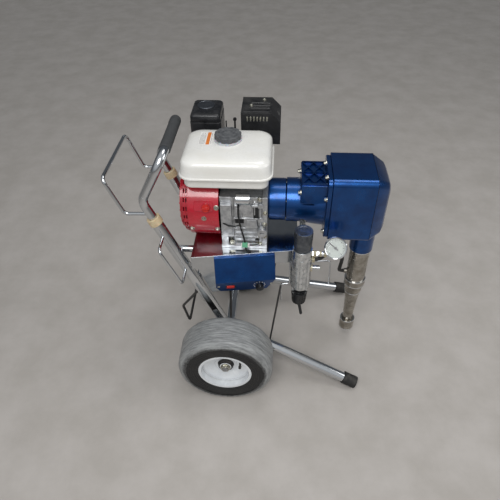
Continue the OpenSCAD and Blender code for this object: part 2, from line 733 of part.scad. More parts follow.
gear_z = crank_z + gear_rise;
pin_z = gear_z - stroke / 2;
module drive_gear() color("#85888c") at_axle() {
    translate([0, 0, gear_rise]) crank_plane(mesh_x[0], mesh_x[1])
        gear_outline(gear_teeth, 90 - 180 / gear_teeth);
    x_cyl(mesh_x[1], 374, 12, 0, gear_z);
    x_cyl(374, 388, 34, 0, gear_z);
    x_cyl(388, 412, 8, 0, pin_z);
}

rod_length = 110;
module connecting_rod() color("#94979b") at_axle() difference() {
    union() {
        x_cyl(390, 410, 15, 0, pin_z);
        x_cyl(392, 408, 7, 0, pin_z - rod_length);
        block([395, 405], [-6, 6], [pin_z - rod_length + 5, pin_z - 10]);
    }
    x_cyl(380, 420, 8 + fit_gap, 0, pin_z);
    x_cyl(380, 420, 4, 0, pin_z - rod_length);
}

// ---- Pump ----

cyl_bottom_z = 200;
inlet_z = 52;
module pump_cylinder() color("#a39e94") at_axle() translate([pump_reach, 0, 0]) difference() {
    union() {
        translate([0, 0, 296]) cylinder(h = collar_bottom_z + 5 - 296, r = pump_r - 0.1);
        translate([0, 0, 296]) cylinder(h = collar_bottom_z - 0.1 - 296, r = pump_r + 4);
        translate([0, 0, 274]) cylinder(h = 22.5, r = pump_r + 7);
        translate([0, 0, 236]) cylinder(h = 38.5, r1 = 26, r2 = pump_r + 4);
        translate([0, 0, cyl_bottom_z]) cylinder(h = 36.5, r1 = 21, r2 = 26);
        rotate([0, -90, 0]) translate([322, 0, 15]) cylinder(h = 24, r = 8);
    }
    translate([0, 0, cyl_bottom_z - 1]) cylinder(h = 170, r = 14);
    translate([0, 0, 360]) cylinder(h = collar_bottom_z - 350, r = rod_r + fit_gap);
    rotate([0, -90, 0]) translate([322, 0, 12]) cylinder(h = 40, r = 4);
}

rod_top_z = pin_z - rod_length - 10 - 2 - stroke / 2;
module pump_rod() color("#d4d6d8") at_axle() translate([pump_reach, 0, 0]) {
    translate([0, 0, 240]) cylinder(h = rod_top_z - 240, r = rod_r);
    translate([0, 0, 232]) cylinder(h = 12, r = 14 - fit_gap);
    translate([0, 0, rod_top_z - 8]) cylinder(h = 8, r = 16);
}

module intake_valve() color("#a8a39a") at_axle() translate([pump_reach, 0, 0]) difference() {
    union() {
        translate([0, 0, inlet_z + 40]) cylinder(h = cyl_bottom_z - inlet_z - 40, r1 = 16, r2 = 20.5);
        translate([0, 0, inlet_z]) cylinder(h = 42, r = 24.5);
    }
    translate([0, 0, inlet_z - 1]) cylinder(h = 200, r = 11);
    translate([0, 0, inlet_z - 1]) cylinder(h = 31, r = 20);
}

hose_route = [[361, 0, 322], [354, 0, 322], [346, -3, 328], [345, -14, 352], [345, -28, 394],
    [336, -50, 438],
    [310, -78, 468], [284, -106, 484], [268, -124, 488], [256, -130, 488], [248, -130, 488]];
module pressure_hose() color("#262626") at_axle() sweep(spline(hose_route, 4), 5.5, 10);

// ---- Filter, gauge and drain valve ----

outlet_z = 456;
filter_cap_h = 60;
module at_filter() at_axle() translate([filter_x, filter_y, 0]) children();

module filter_body() color("#c9cbcd") {
    at_filter() difference() {
        union() {
            translate([0, 0, filter_bottom_z]) cylinder(h = filter_top_z - filter_bottom_z, r = filter_r);
            for (a = [0 : 45 : 315]) rotate(a) translate([filter_r - 3, -5, filter_bottom_z + 6])
                cube([4, 10, filter_top_z - filter_bottom_z - 34]);
            for (x = [-22, 16]) translate([x, -4, filter_bottom_z - 24]) cube([6, 8, 26]);
            translate([0, 0, outlet_z]) rotate([0, 90, 0]) {
                translate([0, 0, 20]) cylinder(h = 11.8, r = 10);
                translate([0, 0, 31.7]) cylinder(h = 20, r = 7);
            }
            translate([0, 0, 488]) rotate([0, 90, 0]) translate([0, 0, 20]) cylinder(h = 12, r = 7.5);
            translate([-8, filter_r - 4, 484]) cube([16, 68, 16]);
            translate([-8, 72, 484]) cube([16, 19, 96]);
        }
        translate([0, 0, filter_bottom_z + 12]) cylinder(h = 200, r = filter_r - 6);
        translate([0, 0, filter_bottom_z - 1]) cylinder(h = 20, r = 6);
        translate([0, 0, outlet_z]) rotate([0, 90, 0]) translate([0, 0, 15]) cylinder(h = 40, r = 4);
        translate([0, -filter_y, 0]) housing_cone(cone_x0 - filter_x);
    }
}

module filter_cap() color("#6b6e72") at_filter() difference() {
    union() {
        translate([0, 0, filter_top_z + air_gap]) cylinder(h = filter_cap_h, r = 24.5);
        translate([0, 0, filter_top_z - 14]) cylinder(h = 16, r = filter_r - 6 - fit_gap);
    }
    translate([0, 0, filter_top_z + filter_cap_h - 1]) cylinder(h = 10, r = 18);
}

module filter_element() color("#8b8f94") at_filter() difference() {
    translate([0, 0, filter_bottom_z + 12]) cylinder(h = 100, r = 12);
    translate([0, 0, filter_bottom_z + 16]) cylinder(h = 100, r = 9);
}

valve_z = filter_bottom_z - 4;
module drain_valve() color("#161616") at_filter() {
    translate([0, 0, valve_z - 23]) cylinder(h = 25, r = 12);
    translate([0, 0, valve_z - 64]) cylinder(h = 42, r1 = 19, r2 = 22.5);
    translate([0, 0, valve_z - 76]) cylinder(h = 12.5, r1 = 9, r2 = 18);
    translate([0, 0, valve_z - 4]) cylinder(h = 18, r = 6 - fit_gap);
    rod([0, 0, valve_z - 66], [10, -6, valve_z - 118], 4.5);
}

// The dial leans back to face a standing operator
dial_lean = 42;
needle_turn = 50;
module at_dial()
    at_axle() translate([gauge_x, filter_y, gauge_z]) rotate([90 - dial_lean, 0, 0]) children();

module pressure_gauge() {
    color("#d9dbdc") at_dial() difference() {
        union() {
            translate([0, 0, -18]) cylinder(h = 22, r = gauge_r);
            translate([0, 0, -8]) cylinder(h = 12, r = gauge_r + 2);
        }
        translate([0, 0, 0]) cylinder(h = 10, r = gauge_r - 2);
    }
    color("#c9b98a") at_axle() difference() {
        x_cyl(filter_x + 20, gauge_x - 12, 7, filter_y, gauge_z - 22);
        translate([filter_x, filter_y, 0]) cylinder(h = 700, r = filter_r);
        at_dial() translate([0, 0, -18]) cylinder(h = 22, r = gauge_r);
    }
}

module gauge_needle() color("#111111") at_dial() {
    translate([0, 0, 0.3]) cylinder(h = 2.2, r = 3);
    rotate(needle_turn) translate([-1, -8, 0.6]) cube([2, 30, 1.2]);
}

// ---- Control box ----

module box_profile() polygon([[0, box_bottom_z], [box_bottom_y, box_bottom_z], [box_crease_y, box_crease_z],
    [-6, box_top_z], [0, box_top_z]]);
module box_frame() at_axle() side_frame() translate([box_x0, 0, 0]) children();

module control_box() color("#17468f") box_frame() difference() {
    intersection() {
        rotate([90, 0, 90]) linear_extrude(box_w) box_profile();
        translate([0, 2, 0]) rotate([90, 0, 0]) linear_extrude(50) polygon([
            [0, box_top_z], [0, box_bottom_z + 22], [12, box_bottom_z], [box_w - 24, box_bottom_z],
            [box_w, box_crease_z], [box_w, box_top_z]]);
    }
    panel_place(42) translate([-12, -7, -5]) cube([24, 14, 10]);
    panel_place(126) translate([0, 0, -8]) cylinder(h = 12, r = 5 + fit_gap);
}

// A point on the lower panel, x along the box, Z out of the panel
panel_tilt = atan((box_crease_y - box_bottom_y) / (box_bottom_z - box_crease_z));
module panel_place(x) translate([x, (box_crease_y + box_bottom_y) / 2, (box_crease_z + box_bottom_z) / 2])
    rotate([90 + panel_tilt, 0, 0]) children();

module rocker_switch() color("#c8322a") box_frame() panel_place(42) {
    translate([-11, 0, -1]) rotate([0, 90, 0]) cylinder(h = 22, r = 3.5);
    translate([-11, -6, -1]) cube([22, 12, 3]);
}

module pressure_knob() color("#151515") box_frame() panel_place(126) {
    translate([0, 0, 0.4]) cylinder(h = 14, r = 11);
    translate([0, 0, -6]) cylinder(h = 8, r = 5);
    translate([-1.5, 0, 14]) cube([3, 10, 1]);
}

frame_tubes();
front_legs();
cross_members();
axle();
handle_collars();
platform();
wire_hooks();
rear_hook_rod();
brace_rods();
rubber_feet();
engine_bolts();
axle_nuts();
rim(right);  // right_rim
rim(left);  // left_rim
tyre(right);  // right_tyre
tyre(left);  // left_tyre
tyre_wrap(right);  // right_tyre_wrap
tyre_wrap(left);  // left_tyre_wrap
bushes(right);  // right_bushes
bushes(left);  // left_bushes
handle_tube();
handle_grip();
hose_rack();
crankcase();
cylinder_head();
spark_plug();
fan_shroud();
recoil_cover();
fuel_tank();
fuel_cap();
air_cleaner();
muffler();
carburettor();
throttle_lever();
choke_lever();
engine_switch();
starter_grip();
oil_cap();
sensor_cable();
crankshaft();
flywheel();
clutch_housing();
drive_housing();
front_cover();
pinion();
drive_gear();
connecting_rod();
pump_cylinder();
pump_rod();
intake_valve();
filter_body();
filter_cap();
filter_element();
drain_valve();
pressure_gauge();
gauge_needle();
pressure_hose();
control_box();
rocker_switch();
pressure_knob();
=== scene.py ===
# Looks of the petrol airless paint pump on its hand cart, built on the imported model.
import json
import math

import bmesh
import bpy
from mathutils import Matrix, Vector, noise


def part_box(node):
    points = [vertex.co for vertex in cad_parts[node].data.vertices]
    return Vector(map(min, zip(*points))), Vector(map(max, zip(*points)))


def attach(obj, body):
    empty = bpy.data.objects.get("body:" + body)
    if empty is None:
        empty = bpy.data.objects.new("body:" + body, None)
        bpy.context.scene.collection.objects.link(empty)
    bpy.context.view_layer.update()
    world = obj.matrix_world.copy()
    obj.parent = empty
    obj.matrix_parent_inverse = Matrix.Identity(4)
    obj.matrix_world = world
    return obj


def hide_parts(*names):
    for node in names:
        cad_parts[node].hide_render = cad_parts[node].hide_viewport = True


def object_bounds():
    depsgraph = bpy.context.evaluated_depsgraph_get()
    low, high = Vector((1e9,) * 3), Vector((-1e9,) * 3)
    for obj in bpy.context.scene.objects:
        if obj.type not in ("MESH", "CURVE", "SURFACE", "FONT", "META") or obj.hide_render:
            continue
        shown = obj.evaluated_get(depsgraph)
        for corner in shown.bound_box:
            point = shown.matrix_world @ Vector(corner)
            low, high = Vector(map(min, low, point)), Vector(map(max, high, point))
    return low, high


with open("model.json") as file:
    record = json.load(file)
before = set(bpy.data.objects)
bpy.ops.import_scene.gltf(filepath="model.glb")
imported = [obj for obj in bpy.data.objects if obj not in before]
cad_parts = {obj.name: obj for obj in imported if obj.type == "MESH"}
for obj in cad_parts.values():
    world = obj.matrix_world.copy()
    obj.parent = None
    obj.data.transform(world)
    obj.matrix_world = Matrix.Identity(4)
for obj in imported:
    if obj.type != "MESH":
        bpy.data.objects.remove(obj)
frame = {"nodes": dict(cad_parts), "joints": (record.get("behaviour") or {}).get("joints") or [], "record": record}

MM = 0.001
cad_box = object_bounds()
scene = bpy.context.scene
X, Y, Z = Vector((1, 0, 0)), Vector((0, 1, 0)), Vector((0, 0, 1))
joints = {j["name"]: j for j in frame["joints"]}
slots = {s["node"]: s["material_slot"] for s in frame["record"]["subparts"]}
axle_x = joints["right_wheel_spin"]["pos_m"][0]
body_of = {n: b for b, ns in frame["record"]["behaviour"]["bodies"].items() for n in ns}


def middle(node):
    low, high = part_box(node)
    return (low + high) / 2


def at(x, y, z):
    """A point given from the axle line, the middle plane and the ground, in millimetres."""
    return Vector((axle_x + x * MM, y * MM, z * MM))


# ---- Camera: a standing person looks down over the right side ----

heading, pitch, roll = math.radians(4.3), math.radians(42.2), math.radians(-1.1)
eye = Vector((axle_x + 0.145, -1.0944, 1.3919))
camera = bpy.data.objects.new("camera", bpy.data.cameras.new("camera"))
scene.collection.objects.link(camera)
camera.data.sensor_width = 36.0
camera.data.lens = 34.19
camera.data.clip_end = 50.0
camera.matrix_world = (Matrix.Translation(eye) @ Matrix.Rotation(heading, 4, "Z")
                       @ Matrix.Rotation(math.pi / 2 - pitch, 4, "X") @ Matrix.Rotation(roll, 4, "Z"))
scene.camera = camera


# ---- Colours and nodes ----

def linear(hexed):
    """An sRGB hex colour as linear RGBA."""
    parts = [int(hexed[i:i + 2], 16) / 255 for i in (1, 3, 5)]
    return [c / 12.92 if c <= 0.04045 else ((c + 0.055) / 1.055) ** 2.4 for c in parts] + [1.0]


def add(tree, kind, settings=None, inputs=None):
    """Adds a node, sets its settings, and feeds its inputs from values or from other nodes' sockets."""
    made = tree.nodes.new(kind)
    for name, value in (settings or {}).items():
        setattr(made, name, value)
    for name, value in (inputs or {}).items():
        if isinstance(value, bpy.types.NodeSocket):
            tree.links.new(value, made.inputs[name])
        else:
            made.inputs[name].default_value = value
    return made


def finish(name, colour, roughness, metallic=0.0, shade=None, patch_mm=40.0, spread=0.06, grain_mm=0.0,
           grain_depth=0.0, drawn=(1, 1, 1), drawn_mm=0.0, drawn_depth=0.0, shade_and_grime=None, shade_and_grime_mm=6.0,
           shade_and_grime_share=0.6, dust=None, dust_share=0.25, **constants):
    """A surface: two shades in soft patches, roughness that varies with them, a fine grain, drawn tool lines,
    painted shade with grime in the corners and dust on what faces up. Every size is in millimetres."""
    skin = bpy.data.materials.new(name)
    skin.use_nodes = True
    tree = skin.node_tree
    tree.nodes.clear()
    place = add(tree, "ShaderNodeTexCoord").outputs["Object"]
    patches = add(tree, "ShaderNodeTexNoise", None,
                  {"Vector": place, "Scale": 1 / (patch_mm * MM), "Detail": 5.0, "Roughness": 0.62})
    share = add(tree, "ShaderNodeMapRange", None,
                {"Value": patches.outputs["Fac"], "From Min": 0.36, "From Max": 0.64}).outputs["Result"]
    tint = add(tree, "ShaderNodeMix", {"data_type": "RGBA"},
               {0: share, 6: linear(colour), 7: linear(shade or colour)}).outputs[2]
    rough = add(tree, "ShaderNodeMapRange", None,
                {"Value": share, "To Min": max(roughness - spread, 0.02),
                 "To Max": min(roughness + spread, 1.0)}).outputs["Result"]
    height = None
    if grain_mm:
        grain = add(tree, "ShaderNodeTexNoise", None,
                    {"Vector": place, "Scale": 1 / (grain_mm * MM), "Detail": 3.0, "Roughness": 0.6})
        height = add(tree, "ShaderNodeBump", None,
                     {"Height": grain.outputs["Fac"], "Distance": grain_depth * MM,
                      "Strength": 1.0}).outputs["Normal"]
    if drawn_mm:
        stretched = add(tree, "ShaderNodeMapping", None,
                        {"Vector": place, "Scale": drawn}).outputs["Vector"]
        streaks = add(tree, "ShaderNodeTexNoise", None,
                      {"Vector": stretched, "Scale": 1 / (drawn_mm * MM), "Detail": 3.0, "Roughness": 0.7})
        rough = add(tree, "ShaderNodeMath", {"operation": "MULTIPLY_ADD", "use_clamp": True},
                    {0: streaks.outputs["Fac"], 1: 0.25,
                     2: add(tree, "ShaderNodeMath", {"operation": "SUBTRACT"},
                            {0: rough, 1: 0.125}).outputs[0]}).outputs[0]
        height = add(tree, "ShaderNodeBump", None, {
            "Height": streaks.outputs["Fac"], "Distance": drawn_depth * MM, "Strength": 1.0,
            **({"Normal": height} if height else {})}).outputs["Normal"]
    # Painted shade with grime: an ambient-occlusion mask mixes a second colour into corners and creases, where
    # shade falls; on most finishes that colour is a darker tint standing for shade
    if shade_and_grime:
        open_sky = add(tree, "ShaderNodeAmbientOcclusion", {"samples": 6, "only_local": True},
                       {"Distance": shade_and_grime_mm * MM}).outputs["AO"]
        shut = add(tree, "ShaderNodeMapRange", None,
                   {"Value": open_sky, "From Min": 0.35, "From Max": 0.95, "To Min": shade_and_grime_share,
                    "To Max": 0.0}).outputs["Result"]
        tint = add(tree, "ShaderNodeMix", {"data_type": "RGBA"},
                   {0: shut, 6: tint, 7: linear(shade_and_grime)}).outputs[2]
    if dust:
        faces = add(tree, "ShaderNodeNewGeometry").outputs["Normal"]
        up = add(tree, "ShaderNodeSeparateXYZ", None, {"Vector": faces}).outputs["Z"]
        lying = add(tree, "ShaderNodeMapRange", None,
                    {"Value": up, "From Min": 0.2, "From Max": 1.0, "To Min": 0.0,
                     "To Max": dust_share}).outputs["Result"]
        patchy = add(tree, "ShaderNodeMath", {"operation": "MULTIPLY"}, {0: lying, 1: share}).outputs[0]
        tint = add(tree, "ShaderNodeMix", {"data_type": "RGBA"},
                   {0: patchy, 6: tint, 7: linear(dust)}).outputs[2]
    shader = add(tree, "ShaderNodeBsdfPrincipled", None, {
        "Base Color": tint, "Roughness": rough, "Metallic": metallic,
        **({"Normal": height} if height else {}), **constants})
    add(tree, "ShaderNodeOutputMaterial", None, {"Surface": shader.outputs["BSDF"]})
    return skin


# Chrome plate on drawn tube: a near mirror, dulled a little in hand-sized patches
chrome_plate = finish("chrome_plate", "#d4d6d8", 0.1, 1.0, "#c9cccf", 60, 0.05, 2.5, 0.004)
# Black paint on wire rod: satin, thin enough to show the rod's drawn lines
black_rod_paint = finish("black_rod_paint", "#2a2b2c", 0.42, 0.0, "#3c3a37", 25, 0.1, 1.5, 0.05)
# Zinc plate on pressed fasteners: bright grey with a faint yellow cast, painted shade with grime in its corners
zinc_plate = finish("zinc_plate", "#d2d1c8", 0.28, 1.0, "#b3b09f", 5, 0.08, 1.0, 0.01, shade_and_grime="#3a3733",
    shade_and_grime_mm=3)
# Turned steel: grey, with fine lines round it
turned_steel = finish("turned_steel", "#a9abad", 0.3, 1.0, "#8b8d90", 20, 0.08, drawn_mm=2.0,
    drawn_depth=0.01)
# Cast nylon, machined: pale beige, waxy, with handling marks and painted shade with grime in its corners
cast_nylon = finish("cast_nylon", "#d9c7a4", 0.48, 0.0, "#c6b18b", 15, 0.08, 2.0, 0.03, shade_and_grime="#7c6a4c",
                    **{"Subsurface Weight": 0.08, "Subsurface Scale": 0.003})
# Moulded natural rubber: near black, dull, greyed with dust on top
moulded_rubber = finish("moulded_rubber", "#191919", 0.72, 0.0, "#262524", 12, 0.1, 1.2, 0.06,
    dust="#77726b", dust_share=0.3)
# Foam rubber tube: dark grey with open pores, drawn 2 mm wide so that they show
foam_rubber = finish("foam_rubber", "#3d3f40", 0.85, 0.0, "#303133", 18, 0.08, 2.0, 0.35, dust="#6e6f70",
    dust_share=0.2)
# Stainless sheet, mirror polished: reflects what stands on it, slightly rippled, painted shade with grime in its
# corners
polished_stainless = finish("polished_stainless", "#c4c6c8", 0.13, 1.0, "#b3b6b9", 90, 0.05, 30.0, 0.12,
    drawn=(0.04, 1, 1), drawn_mm=2.5, drawn_depth=0.004, shade_and_grime="#55504a", shade_and_grime_mm=5, shade_and_grime_share=0.35)
# Stove enamel on the wheel rims: white, glossy, a little dusty where it faces up, painted shade with grime in its
# corners
white_stove_enamel = finish("white_stove_enamel", "#eef1f3", 0.25, 0.0, "#e0e4e8", 35, 0.06, 5.0, 0.02,
    shade_and_grime="#6e6a64", shade_and_grime_mm=9, shade_and_grime_share=0.45, dust="#b9b3aa", dust_share=0.25,
    **{"Coat Weight": 0.5, "Coat Roughness": 0.1})
# Tyre rubber: black and dull, with floor dust rubbed in
tyre_rubber = finish("tyre_rubber", "#131416", 0.6, 0.0, "#232323", 22, 0.1, 1.5, 0.08, shade_and_grime="#4a453f",
    shade_and_grime_mm=4, shade_and_grime_share=0.35, dust="#5a554e", dust_share=0.3)
# Sintered bronze bush: dull yellow-brown, oily
sintered_bronze = finish("sintered_bronze", "#a08a5c", 0.45, 1.0, "#87734a", 6, 0.08, 0.8, 0.02)
# Die-cast aluminium: pale grey, finely pebbled by the die, dark in its corners with painted shade and grime
die_cast_aluminium = finish("die_cast_aluminium", "#cdcfd1", 0.4, 0.9, "#aeb0b3", 14, 0.08, 1.6, 0.1,
    shade_and_grime="#2f2c29", shade_and_grime_mm=7, shade_and_grime_share=0.6, dust="#a8a29a", dust_share=0.15)
# Stove enamel on pressed steel: deep crimson under a hard gloss, with darker red painted shade in its corners
crimson_enamel = finish("crimson_enamel", "#c40f2c", 0.27, 0.0, "#b00a24", 50, 0.05, 7.0, 0.05,
    shade_and_grime="#3c060d", shade_and_grime_mm=8, shade_and_grime_share=0.6, **{"Coat Weight": 0.9, "Coat Roughness": 0.07})
# Baked white enamel on the fuel tank: clean and glossy, very slightly cream where it is thin, greyed by painted
# shade in its corners
tank_enamel = finish("tank_enamel", "#f1f0ec", 0.28, 0.0, "#ebe9e2", 80, 0.04, 9.0, 0.03, shade_and_grime="#a39e94",
    shade_and_grime_mm=5, shade_and_grime_share=0.4, **{"Coat Weight": 0.7, "Coat Roughness": 0.08})
# Moulded nylon cap: dark grey, worn paler on its grips, painted shade with grime in its corners
cap_nylon = finish("cap_nylon", "#46484b", 0.46, 0.0, "#57595c", 10, 0.08, 1.5, 0.06, shade_and_grime="#26272a",
    shade_and_grime_mm=5, dust="#8a8a88")
# Natural polythene: milky and see-through at its edge
pale_polythene = finish("pale_polythene", "#c9ccd0", 0.3, 0.0, "#b4b8be", 12, 0.06, 3.0, 0.03,
                        **{"Subsurface Weight": 0.3, "Subsurface Scale": 0.004})
# Moulded ABS: black with the die's fine leather grain
black_abs = finish("black_abs", "#121316", 0.3, 0.0, "#222326", 30, 0.08, 1.3, 0.06, dust="#5d5b58",
    dust_share=0.16)
# Heat-proof paint on pressed steel: flat black, thin dust on top
heat_proof_black = finish("heat_proof_black", "#111214", 0.46, 0.1, "#232325", 26, 0.1, 1.2, 0.05,
    dust="#5f5c58", dust_share=0.16)
# Grey iron: dark and coarse
grey_iron = finish("grey_iron", "#6f7275", 0.55, 0.9, "#55585b", 10, 0.1, 1.5, 0.1)
# Metallic lacquer on cast aluminium: deep blue, aluminium flake under a clear coat, navy painted shade in its
# corners
blue_flake_lacquer = finish("blue_flake_lacquer", "#0c4a8c", 0.32, 0.85, "#083a74", 45, 0.05, 4.0, 0.035,
    shade_and_grime="#07142e", shade_and_grime_mm=9, shade_and_grime_share=0.7, **{"Coat Weight": 0.5, "Coat Roughness": 0.12})
# Turned stainless tube: warm grey, tool lines round it, drawn 3 mm apart so that they show
# Painted shade with grime darkens its corners
turned_stainless = finish("turned_stainless", "#b5b1a9", 0.3, 1.0, "#938d83", 24, 0.08,
    drawn=(0.06, 0.06, 1), drawn_mm=3.0, drawn_depth=0.03, shade_and_grime="#4b443c", shade_and_grime_mm=6, shade_and_grime_share=0.5)
# Hard chrome on the pump rod: mirror bright
hard_chrome = finish("hard_chrome", "#e3e5e7", 0.07, 1.0, "#d5d7d9", 20, 0.03)
# Machined aluminium: bright, with streaks along its length, painted shade with grime in its corners
machined_aluminium = finish("machined_aluminium", "#e0e2e3", 0.24, 1.0, "#b9bcbe", 12, 0.08,
    drawn=(1, 1, 0.05), drawn_mm=3.0, drawn_depth=0.05, shade_and_grime="#4d4d4e", shade_and_grime_mm=5, shade_and_grime_share=0.5)
# Anodised aluminium: dark grey, satin, turned in rings, painted shade with grime in its corners
grey_anodising = finish("grey_anodising", "#6f7378", 0.32, 0.9, "#555960", 14, 0.06, drawn=(0.1, 0.1, 1),
    drawn_mm=2.5, drawn_depth=0.03, shade_and_grime="#28292b", shade_and_grime_mm=4)
# Nickel plate on brass fittings: pale yellow-grey, painted shade with grime in its corners
nickel_plate = finish("nickel_plate", "#d6cfb9", 0.24, 1.0, "#bdb498", 6, 0.06, shade_and_grime="#4a4436", shade_and_grime_mm=4)
# Printed dial card: pale green-grey
dial_card = finish("dial_card", "#b4bcb6", 0.6, 0.0, "#c6cec5", 8, 0.05)
# Printing ink: flat black
black_ink = finish("black_ink", "#131313", 0.6, 0.0, "#1d1d1d", 4, 0.05)
# Hose cover: black rubber, cloth marked
hose_rubber = finish("hose_rubber", "#202021", 0.6, 0.0, "#2d2d2d", 10, 0.08, 1.2, 0.08, dust="#66625c")
# Red ABS rocker: glossy
red_abs = finish("red_abs", "#d3241c", 0.28, 0.0, "#b8231c", 6, 0.04, 1.0, 0.02)
# Soft vinyl: black cable sleeve
vinyl_sleeve = finish("vinyl_sleeve", "#161617", 0.38, 0.0, "#202021", 12, 0.06, 1.5, 0.03)
# Green nylon plug half, matt
green_nylon = finish("green_nylon", "#5fb68a", 0.45, 0.0, "#7cc6a0", 5, 0.06, 1.0, 0.02)
# Paper labels under varnish: white, and an orange bar
label_paper = finish("label_paper", "#f4f2ee", 0.35, 0.0, "#edeae4", 12, 0.05, 2.0, 0.01)
orange_print = finish("orange_print", "#e8853a", 0.35, 0.0, "#dd7a32", 8, 0.05)
# Woven wire filter gauze and bare steel inside the machine: plain bright steel
steel_gauze = finish("steel_gauze", "#a6a8aa", 0.35, 1.0, "#8d8f91", 5, 0.08, 1.0, 0.1)
# Stretch film wound in many layers: milky grey streaks along the winding, thin and dark where it ends
# on the sidewall
film_mid = Vector(joints["right_wheel_spin"]["pos_m"])
stretch_film = bpy.data.materials.new("stretch_film")
stretch_film.use_nodes = True
web = stretch_film.node_tree
web.nodes.clear()
from_hub = add(web, "ShaderNodeVectorMath", {"operation": "SUBTRACT"},
               {0: add(web, "ShaderNodeTexCoord").outputs["Object"],
                1: (film_mid.x, 0, film_mid.z)}).outputs["Vector"]
in_plane = add(web, "ShaderNodeVectorMath", {"operation": "MULTIPLY"},
               {0: from_hub, 1: (1, 0, 1)}).outputs["Vector"]
radius = add(web, "ShaderNodeVectorMath", {"operation": "LENGTH"}, {0: in_plane}).outputs["Value"]
drawn_in = add(web, "ShaderNodeMath", {"operation": "MULTIPLY_ADD"},
               {0: radius, 1: 0.35, 2: -36 * MM}).outputs["Value"]
around = add(web, "ShaderNodeVectorMath", {"operation": "SCALE"},
             {0: add(web, "ShaderNodeVectorMath", {"operation": "NORMALIZE"},
                     {0: in_plane}).outputs["Vector"], "Scale": drawn_in}).outputs["Vector"]
across = add(web, "ShaderNodeVectorMath", {"operation": "MULTIPLY_ADD"},
             {0: from_hub, 1: (0, 1, 0), 2: around}).outputs["Vector"]
bands = add(web, "ShaderNodeTexNoise", None,
            {"Vector": across, "Scale": 1 / (4.5 * MM), "Detail": 7.0, "Roughness": 0.72}).outputs["Fac"]
share = add(web, "ShaderNodeMapRange", None,
            {"Value": bands, "From Min": 0.36, "From Max": 0.66}).outputs["Result"]
tint = add(web, "ShaderNodeMix", {"data_type": "RGBA"},
           {0: share, 6: linear("#a5a7a6"), 7: linear("#6a6b6c")}).outputs[2]
mottle = add(web, "ShaderNodeTexNoise", None,
             {"Vector": from_hub, "Scale": 1 / (8 * MM), "Detail": 6.0, "Roughness": 0.75}).outputs["Fac"]
ragged = add(web, "ShaderNodeMath", {"operation": "MULTIPLY_ADD"},
             {0: mottle, 1: 16 * MM, 2: radius}).outputs["Value"]
thin = add(web, "ShaderNodeMapRange", None,
           {"Value": ragged, "From Min": 131 * MM, "From Max": 137 * MM, "To Min": 0.85,
            "To Max": 0.0}).outputs["Result"]
tint = add(web, "ShaderNodeMix", {"data_type": "RGBA"}, {0: thin, 6: tint, 7: linear("#1f2022")}).outputs[2]
shine = add(web, "ShaderNodeMapRange", None,
            {"Value": share, "To Min": 0.3, "To Max": 0.55}).outputs["Result"]
creased = add(web, "ShaderNodeBump", None,
              {"Height": bands, "Distance": 1.1 * MM, "Strength": 1.0}).outputs["Normal"]
skin = add(web, "ShaderNodeBsdfPrincipled", None,
           {"Base Color": tint, "Roughness": shine, "Normal": creased})
add(web, "ShaderNodeOutputMaterial", None, {"Surface": skin.outputs["BSDF"]})
# Gauge glass: thin and clear
gauge_glass = bpy.data.materials.new("gauge_glass")
gauge_glass.use_nodes = True
glass = gauge_glass.node_tree.nodes["Principled BSDF"]
for socket, value in {"Base Color": (1, 1, 1, 1), "Roughness": 0.03, "IOR": 1.45, "Alpha": 0.12}.items():
    glass.inputs[socket].default_value = value


# ---- Making pieces ----

def settle(piece, skin, body, slot, *nodes):
    """Gives a piece its skin, its body and slot, and the CAD nodes that it stands for."""
    if skin:
        piece.data.materials.clear()
        piece.data.materials.append(skin)
    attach(piece, body)
    if nodes:
        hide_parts(*nodes)
    return piece


def mesh_piece(name, verts, faces, crease=35):
    mesh = bpy.data.meshes.new(name)
    mesh.from_pydata([tuple(v) for v in verts], [], faces)
    work = bmesh.new()
    work.from_mesh(mesh)
    bmesh.ops.recalc_face_normals(work, faces=work.faces)
    work.to_mesh(mesh)
    work.free()
    mesh.shade_smooth()
    mesh.set_sharp_from_angle(angle=math.radians(crease))
    piece = bpy.data.objects.new(name, mesh)
    scene.collection.objects.link(piece)
    return piece


def edged(piece, width, crease=35, rows=2):
    """Rounds a piece's sharp edges, width in millimetres."""
    bevel = piece.modifiers.new("edges", "BEVEL")
    bevel.limit_method = "ANGLE"
    bevel.angle_limit = math.radians(crease)
    bevel.width = width * MM
    bevel.segments = rows
    bevel.use_clamp_overlap = False
    bevel.harden_normals = True
    return piece


def softened(node, skin, width=0.8, crease=35):
    """The CAD piece's own shape with its edges rounded and smooth curves, in place of the CAD node."""
    work = bmesh.new()
    work.from_mesh(frame["nodes"][node].data)
    bmesh.ops.remove_doubles(work, verts=work.verts, dist=2e-5)
    bmesh.ops.dissolve_limit(work, angle_limit=math.radians(0.8), verts=work.verts, edges=work.edges)
    work.verts.index_update()
    verts = [v.co.copy() for v in work.verts]
    faces = [[v.index for v in f.verts] for f in work.faces]
    work.free()
    piece = mesh_piece("made_" + node, verts, faces, crease)
    if width:
        edged(piece, width, crease)
    return settle(piece, skin, body_of[node], slots[node], node)


def mm(*points):
    """Points given in millimetres, in metres."""
    return [tuple(v * MM for v in p) for p in points]


def stand(origin, axis, side=None):
    """A matrix whose Z lies along axis at origin; side fixes where its X points."""
    z = Vector(axis).normalized()
    side = Vector(side) if side else (X if abs(z.x) < 0.9 else Y)
    x = (side - z * side.dot(z)).normalized()
    y = z.cross(x)
    made = Matrix((x, y, z)).transposed().to_4x4()
    made.translation = Vector(origin)
    return made


def turned(profile, place, steps=48):
    """Vertices and faces of a closed profile of (radius, height) turned round its place's Z."""
    verts, faces, n = [], [], len(profile)
    for i in range(steps):
        a = 2 * math.pi * i / steps
        verts += [place @ Vector((r * math.cos(a), r * math.sin(a), h)) for r, h in profile]
    for i in range(steps):
        j = (i + 1) % steps
        faces += [(i * n + k, j * n + k, j * n + (k + 1) % n, i * n + (k + 1) % n) for k in range(n)]
    return verts, faces


